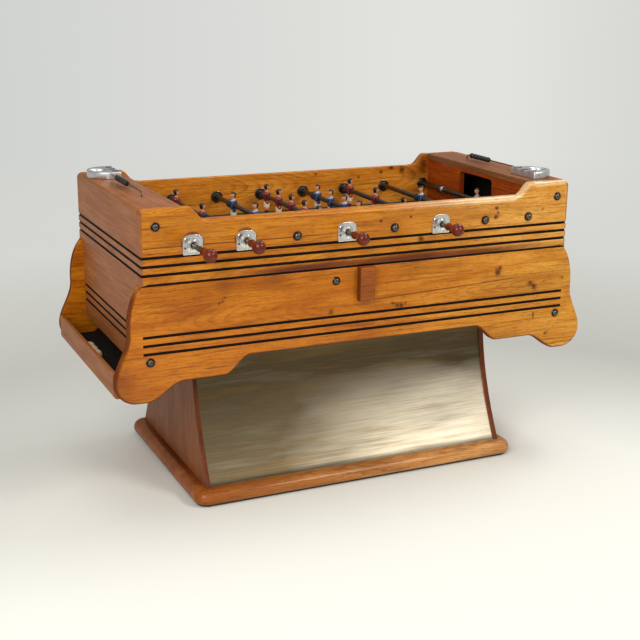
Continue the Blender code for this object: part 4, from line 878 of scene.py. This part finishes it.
def rod_pieces(rod, handle, count):
    """Guide, tube with men, handle and bearing of one rod; a back rod is a front rod turned half round."""
    name, x = f"rod_{rod + 1}", rod_x(rod)
    turn = 1.0 if handle == "front" else -1.0
    inner_width = 2 * SIDE_INNER
    places = MEN_SPACING[count] * inner_width * (np.arange(count) - (count - 1) / 2)
    outer = KEEPER_BUFFER * inner_width if count == 1 else places[-1] + MAN_HALF_WIDTH
    reach = outer + BUFFER_LENGTH + TUBE_END
    tube_low, tube_high = (corner.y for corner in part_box(f"{name}_tube_and_men"))
    middle = tube_high - reach if turn > 0 else tube_low + reach
    near = ((tube_low if turn > 0 else tube_high) - middle) * turn
    blind = near + SOCKET_DEPTH
    here = dict(x=x, y=middle, z=ROD_Z, toward=turn)
    tube = [(near, 0), (near, TUBE_RADIUS), (reach - 0.0008, TUBE_RADIUS), (reach, TUBE_RADIUS - 0.0008),
            (reach, BORE_RADIUS), (blind, BORE_RADIUS), (blind, 0)]
    skins = [turned(tube, **here)]
    skins += [turned(buffer_line(start), tints=1, loop=True, **here)
              for start in (-outer - BUFFER_LENGTH, outer)]
    if count == 1:
        ring = np.array([(outer - 0.012, TUBE_RADIUS), (outer - 0.012, 0.0118), (outer - 0.011, 0.0126),
                         (outer - 0.002, 0.0126), (outer - 0.001, 0.0118), (outer - 0.001, TUBE_RADIUS)])
        skins += [turned(ring * (side, 1), tints=2, loop=True, **here) for side in (-1, 1)]
    for place in places:
        skins += [(points + (x, middle + place, ROD_Z), *rest) for points, *rest in MEN[turn]]
    shirt, socks, collar = ("red", "maroon", "red") if turn > 0 else ("blue", "navy", "pale")
    paints = [enamel[key] for key in (shirt, "cream", "flesh", socks, "black", collar)]
    piece(f"{name}_tube_men_buffers", skins, [dark_steel, rubber, cast_alloy] + paints,
          f"{name}_body", [f"{name}_tube_and_men"])

    edges = [corner.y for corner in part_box(f"{name}_handle")]
    ball = edges[0] + BALL_RADIUS if turn > 0 else edges[1] - BALL_RADIUS
    stop = NECK_LENGTH - SOCKET_DEPTH - GAP
    waist = 0.0098 + 0.0024 * np.linspace(-0.35, 1, 14) ** 2
    neck = np.column_stack([np.linspace(0.0185, NECK_LENGTH - 0.002, 14), waist])
    grip = np.concatenate([arc((0, 0), (-BALL_RADIUS, BALL_RADIUS), 0, 150, 25), neck, [
        (NECK_LENGTH - 0.0006, 0.0118), (NECK_LENGTH, 0.0108), (NECK_LENGTH, BEARING_BORE),
        (stop, BEARING_BORE), (stop, 0)]])
    piece(f"{name}_handle_turned", [turned(grip, x, ball, ROD_Z, turn, 48)], [handle_wood],
          f"{name}_body", [f"{name}_handle"])

    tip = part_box(f"{name}_guide")[0 if turn > 0 else 1].y * turn
    disc = [(BETWEEN_SIDES, DISC_RADIUS), (DISC_FACE + 0.0035, DISC_RADIUS), (DISC_FACE + 0.0022, 0.0188),
            (DISC_FACE + 0.0020, 0.0130), (DISC_FACE + 0.0004, 0.0120), (DISC_FACE, 0.0108)]
    guide = np.concatenate([dome(0.0108, 0.0088, PLATE_FACE + 0.0022), [
        (PLATE_FACE + 0.0018, 0.0116), (PLATE_FACE + 0.0012, HEAD_RADIUS), (PLATE_FACE, HEAD_RADIUS),
        (PLATE_FACE, SHANK_RADIUS), (BETWEEN_SIDES, SHANK_RADIUS)], disc, [
        (DISC_FACE, GUIDE_RADIUS), (tip + 0.003, GUIDE_RADIUS), (tip, 0.0025), (tip, 0)]])
    # The flange under the guide's domed head takes the black steel: painted shadow round the head.
    hollow_tints = (np.arange(len(guide) - 1) // 3 == 2).astype(int)
    piece(f"{name}_guide_steel", [turned(guide, x, 0, ROD_Z, turn, tints=hollow_tints)],
          [dark_steel, steel_painted_shadow], f"{name}_guide_body", [f"{name}_guide"])

    bush_end = PLATE_FACE - 0.0005
    bush = [(BETWEEN_SIDES, SPIGOT_RADIUS)] + disc + [(DISC_FACE, BEARING_BORE), (bush_end, BEARING_BORE),
                                                      (bush_end, SPIGOT_RADIUS)]
    ring = [(PLATE_OUT + out, radius) for out, radius in (
        (0.0070, BEARING_BORE), (0.0070, 0.0102), (0.0081, 0.0100), (0.0083, BEARING_BORE))]
    skins = [plate_shell(x, -turn)]
    skins += [turned(line, x, 0, ROD_Z, -turn, tints=1, loop=True) for line in (bush, ring)]
    sunk = PLATE_FACE + 0.001
    screw = np.concatenate([dome(0.0036, 0.0016, PLATE_OUT), [(sunk, 0.0036), (sunk, 0)]])
    skins += [turned(screw, x + side * 0.0225, 0, ROD_Z - 0.008, -turn, 16, tints=1) for side in (-1, 1)]
    piece(f"{name}_bearing_cast", skins, [cast_alloy, dark_steel],
          stands_for=[f"{name}_bearing"])


MEN = {1.0: man_skin(1.0, 0.0025), -1.0: man_skin(-1.0, 0.0075)}
for rod, (handle, count) in enumerate(RODS):
    rod_pieces(rod, handle, count)

# Ashtrays, score wires and beads


def tray_rings():
    """D casting: outline rings up the wall and over its edge, then blended ring by ring into a round bowl."""
    corner, shoulder = 0.005, TRAY_HALF - TRAY_WIDTH
    straight = np.linspace((0, -TRAY_HALF + corner), (0, TRAY_HALF - corner), 30)
    round_side = arc((shoulder, 0), TRAY_HALF, 90, 270, 80)
    flank = np.linspace((-corner, TRAY_HALF), (shoulder + 0.002, TRAY_HALF), 6)
    bends = [arc((-corner, sy * (TRAY_HALF - corner)), corner, start, start + 90, 5)[1:-1]
             for sy, start in ((1, 0), (-1, 270))]
    outline = np.concatenate([straight, bends[0], flank, round_side, (flank * (1, -1))[::-1], bends[1]])
    centre = np.array([BOWL_X, 0])
    away = outline - centre
    way = away / np.linalg.norm(away, axis=1, keepdims=True)
    rows = [(centre + away * 0.985, 0.0), (outline, 0.0012), (outline, TRAY_HEIGHT - 0.0035)]
    rows += [(centre + away * s, TRAY_HEIGHT - d) for s, d in ((0.992, 0.0014), (0.975, 0.0003), (0.955, 0))]
    rim = centre + way * (BOWL_RADIUS + 0.0035)
    rows += [((centre + away * 0.955) * (1 - s) + rim * s, TRAY_HEIGHT - 0.0002) for s in (0.35, 0.7, 1.0)]
    rows += [(centre + way * (BOWL_RADIUS + r), TRAY_HEIGHT - d) for r, d in (
        (0.0015, 0.0004), (0.0, 0.0016), (-0.0012, 0.004), (-0.0024, 0.008), (-0.005, 0.0115),
        (-0.009, 0.0138), (-0.014, 0.0148), (-BOWL_RADIUS, BOWL_DEPTH))]
    return np.stack([np.column_stack([flat, np.full(len(flat), z)]) for flat, z in rows])


def wire_rings(x, turn):
    """Score wire: a round bar from the ashtray, level and then bent down into the shelf."""
    bend = arc((WIRE_BEND - WIRE_END, -WIRE_BEND), WIRE_BEND, 90, 180, 10)
    line = np.concatenate([[(TRAY_Y - TRAY_HALF - GAP, 0.0)], bend, [(-WIRE_END, -WIRE_FOOT)]])
    ahead = np.gradient(line, axis=0)
    ahead /= np.linalg.norm(ahead, axis=1, keepdims=True)
    angle = turn_angles(16)
    rings = np.empty((len(line), 16, 3))
    rings[..., 0] = x + WIRE_RADIUS * np.cos(angle)
    rings[..., 1] = turn * (line[:, :1] - ahead[:, 1:] * WIRE_RADIUS * np.sin(angle))
    rings[..., 2] = WIRE_Z + line[:, 1:] + ahead[:, :1] * WIRE_RADIUS * np.sin(angle)
    return rings


# Each bead swells from 4.6 mm to its full radius as a sine to the power 0.55.
bead_hole, bead_gap, bead_end = WIRE_RADIUS + ROD_FIT, 0.0004, 0.0046
swell = np.linspace(0, 1, 15)
bead = np.concatenate([[(bead_gap, bead_hole)], np.column_stack([
    bead_gap + (BEAD_LENGTH - 2 * bead_gap) * swell,
    bead_end + (BEAD_RADIUS - bead_end) * np.clip(np.sin(np.pi * swell), 0, 1) ** 0.55]),
    [(BEAD_LENGTH - bead_gap, bead_hole)]])
angle = turn_angles(24)
rest_round = np.column_stack([0.0095 * np.cos(angle), TRAY_HEIGHT + 0.0055 * np.sin(angle)])
pin_hole = [(0.060, 0), (0.060, 0.002), (0.080, 0.002), (0.080, 0)]
# Paint rubbed into the rests of the ashtrays: blue at the left end, red at the right.
for end, sign, beads_y, key in (("left", -1, 0.045, "navy"), ("right", 1, 0.0755, "maroon")):
    turn, paint = -sign, enamel[key]
    shift = np.array([sign * TRAY_X, turn * TRAY_Y, TOP_Z + GAP])
    tray, *rests = [(points * (turn, turn, 1) + shift, *rest) for points, *rest in [shell(tray_rings())] + [
        board(rest_round + (y, 0), -0.024, 0.010, ALONG_X, 0.001) for y in (-0.040, 0.0, 0.040)]]
    # The pin holes are lined with black as painted shade inside them.
    holes = [turned(pin_hole, shift[0] - turn * 0.018, shift[1], TOP_Z + 0.013, side, 12, tints=1)
             for side in (-1, 1)]
    piece(f"{end}_ashtray_cast", [tray], [tray_alloy, paint, black_paint_and_painted_shade],
          stands_for=[f"{end}_ashtray"], cuts=[(rests + holes, [paint, black_paint_and_painted_shade])])
    piece(f"{end}_score_wire_steel", [shell(wire_rings(sign * WIRE_X, turn))], [dark_steel],
          stands_for=[f"{end}_score_wire"])
    beads = [turned(bead, sign * WIRE_X, beads_y + (k - 3) * BEAD_LENGTH, WIRE_Z, 1, 28, loop=True)
             for k in range(6)]
    piece(f"{end}_score_beads_black", beads, [bead_plastic], f"{end}_beads_body",
          [f"{end}_score_beads"])

# Bolts and balls

bolt = np.concatenate([dome(0.0100, 0.0068, 0.0016), [(0.0014, 0.0112), (0.0020, 0.0122), (0.0010, 0.0132),
                                                      (-0.002, 0.0132), (-0.002, 0)]])
# The hollow between each bolt's dome and its flange takes the black steel: painted shadow round the head.
hollow_tints = (np.arange(len(bolt) - 1) // 2 == 3).astype(int)
bolts = [turned(bolt, end * x, sign * face, z, sign, 24, hollow_tints)
         for face, (x, z) in ((HALF_DEPTH, BOX_BOLT), (APRON_FACE, FOOT_BOLT))
         for sign in (-1, 1) for end in (-1, 1)]
bolts += [turned(bolt, SCREW[0], -APRON_FACE, SCREW[1], -1, 24, hollow_tints)]
piece("cabinet_bolts", bolts, [dark_steel, steel_painted_shadow])

round_ball = arc((0, 0), (-LOOSE_BALL, LOOSE_BALL), 0, 180, 24)
balls = [turned(round_ball, LOOSE_X, y, LOOSE_Z, 1, 32) for y in (0.014, 0.058, 0.102)]
piece("left_trough_balls", balls, [ball_wood])

# Stage: pale sweep of paper, cream and bright in front, light grey far behind

floor_mesh = bpy.data.meshes.new("studio_floor")
floor_mesh.from_pydata([(-90, -90, 0), (90, -90, 0), (90, 90, 0), (-90, 90, 0)], [], [(0, 1, 2, 3)])
floor = added("studio_floor", floor_mesh)
paper, tree, shader = finish("pale_studio_paper", base_color=colour("#EEF0EA"), roughness=0.9)
spot = node(tree, "TexCoord").outputs["Object"]
away = vector(tree, "DISTANCE", spot, (-0.1, -0.85, 0.0))
tone = blend(tree, ranged(tree, away, 2.1, 4.0), colour("#C2C1B9"), colour("#D6D6D1"))
# Light on the far paper fans out: the share is the sideways over the forward distance.
parts = node(tree, "SeparateXYZ", {0: spot}).outputs
fan = number(tree, "DIVIDE", number(tree, "ADD", parts[0], 1.6), number(tree, "ADD", parts[1], 3.46))
far_tone = tinged(tree, colour("#D1D3D0"), "#E2E2DE", fan, 0.17, 0.55)
far_tone = tinged(tree, far_tone, "#D3D5CF", fan, 0.66, 0.84, 0.0, 0.8)
tone = blend(tree, ranged(tree, away, 4.0, 8.0), tone, far_tone)
ray = node(tree, "LightPath").outputs
seen = number(tree, "MAXIMUM", ray["Is Camera Ray"], ray["Is Glossy Ray"])
share = number(tree, "MULTIPLY", ranged(tree, away, 1.1, 2.1), seen)
glow = node(tree, "Emission", {"Color": tone, "Strength": 1.0}).outputs[0]
mixed = node(tree, "MixShader", {0: share, 1: shader.outputs[0], 2: glow}).outputs[0]
tree.links.new(mixed, tree.nodes["Material Output"].inputs["Surface"])
floor_mesh.materials.append(paper)

world = bpy.data.worlds.new("studio")
bpy.context.scene.world = world
world.use_nodes = True
tree = world.node_tree
ray = node(tree, "LightPath").outputs
soft = tree.nodes["Background"]
soft.inputs["Color"].default_value = colour("#F2F1EE")
soft.inputs["Strength"].default_value = 0.40
plain = node(tree, "Background", {"Color": colour("#DCDDD9"), "Strength": 1.0}).outputs[0]
mixed = node(tree, "MixShader", {0: ray["Is Camera Ray"], 1: soft.outputs[0], 2: plain}).outputs[0]
tree.links.new(mixed, tree.nodes["World Output"].inputs["Surface"])


def stand(made, right, upward, back, place):
    """Set an object at a place, with its own axes along three directions."""
    rows = np.column_stack([right, upward, back, place])
    made.matrix_world = Matrix(np.vstack([rows, (0, 0, 0, 1)]).tolist())


def lamp(name, place, aim, size, watts, tone="#FFFFFF"):
    """Soft square lamp at a place, facing a point."""
    light = bpy.data.lights.new(name, "AREA")
    light.shape, light.size, light.size_y, light.energy = "RECTANGLE", size[0], size[1], watts
    light.color = colour(tone)[:3]
    back = np.asarray(place, float) - np.asarray(aim, float)
    back /= np.linalg.norm(back)
    right = np.cross((0, 0, 1), back)
    right /= np.linalg.norm(right)
    stand(added(name, light), right, np.cross(back, right), back, place)


lamp("key_softbox", (2.2, -3.6, 3.6), (0.0, -0.2, 0.5), (1.5, 1.5), 94, "#FFF8EE")
lamp("fill_softbox", (-2.9, -2.9, 2.8), (0.0, -0.3, 0.5), (2.4, 2.4), 115, "#FFFCF6")
lamp("top_softbox", (-0.3, 0.3, 3.3), (0.0, 0.0, 0.8), (3.0, 1.8), 18)
lamp("edge_softbox", (1.75, 0.1, 3.15), (0.2, 0.0, 0.8), (1.0, 1.0), 29)

# Camera at the photograph's viewing angle
azimuth, elevation, roll = np.radians((-24.9056, 16.0899, 0.7024))
focal_pixels, picture_pixels = 1190.52, 640
reach = np.cos(elevation)
back = np.array([np.sin(azimuth) * reach, -np.cos(azimuth) * reach, np.sin(elevation)])
level = np.array([np.cos(azimuth), np.sin(azimuth), 0.0])
upward = np.cross(back, level)
right = level * np.cos(roll) + upward * np.sin(roll)
upward = upward * np.cos(roll) - level * np.sin(roll)
view = bpy.data.cameras.new("photo_view")
view.sensor_fit, view.sensor_width, view.lens = "HORIZONTAL", 36.0, 36.0 * focal_pixels / picture_pixels
camera = added("photo_view", view)
stand(camera, right, upward, back, (-1.60516, -3.46053, 1.53733))
bpy.context.scene.camera = camera
bpy.context.scene.view_settings.view_transform = "Standard"
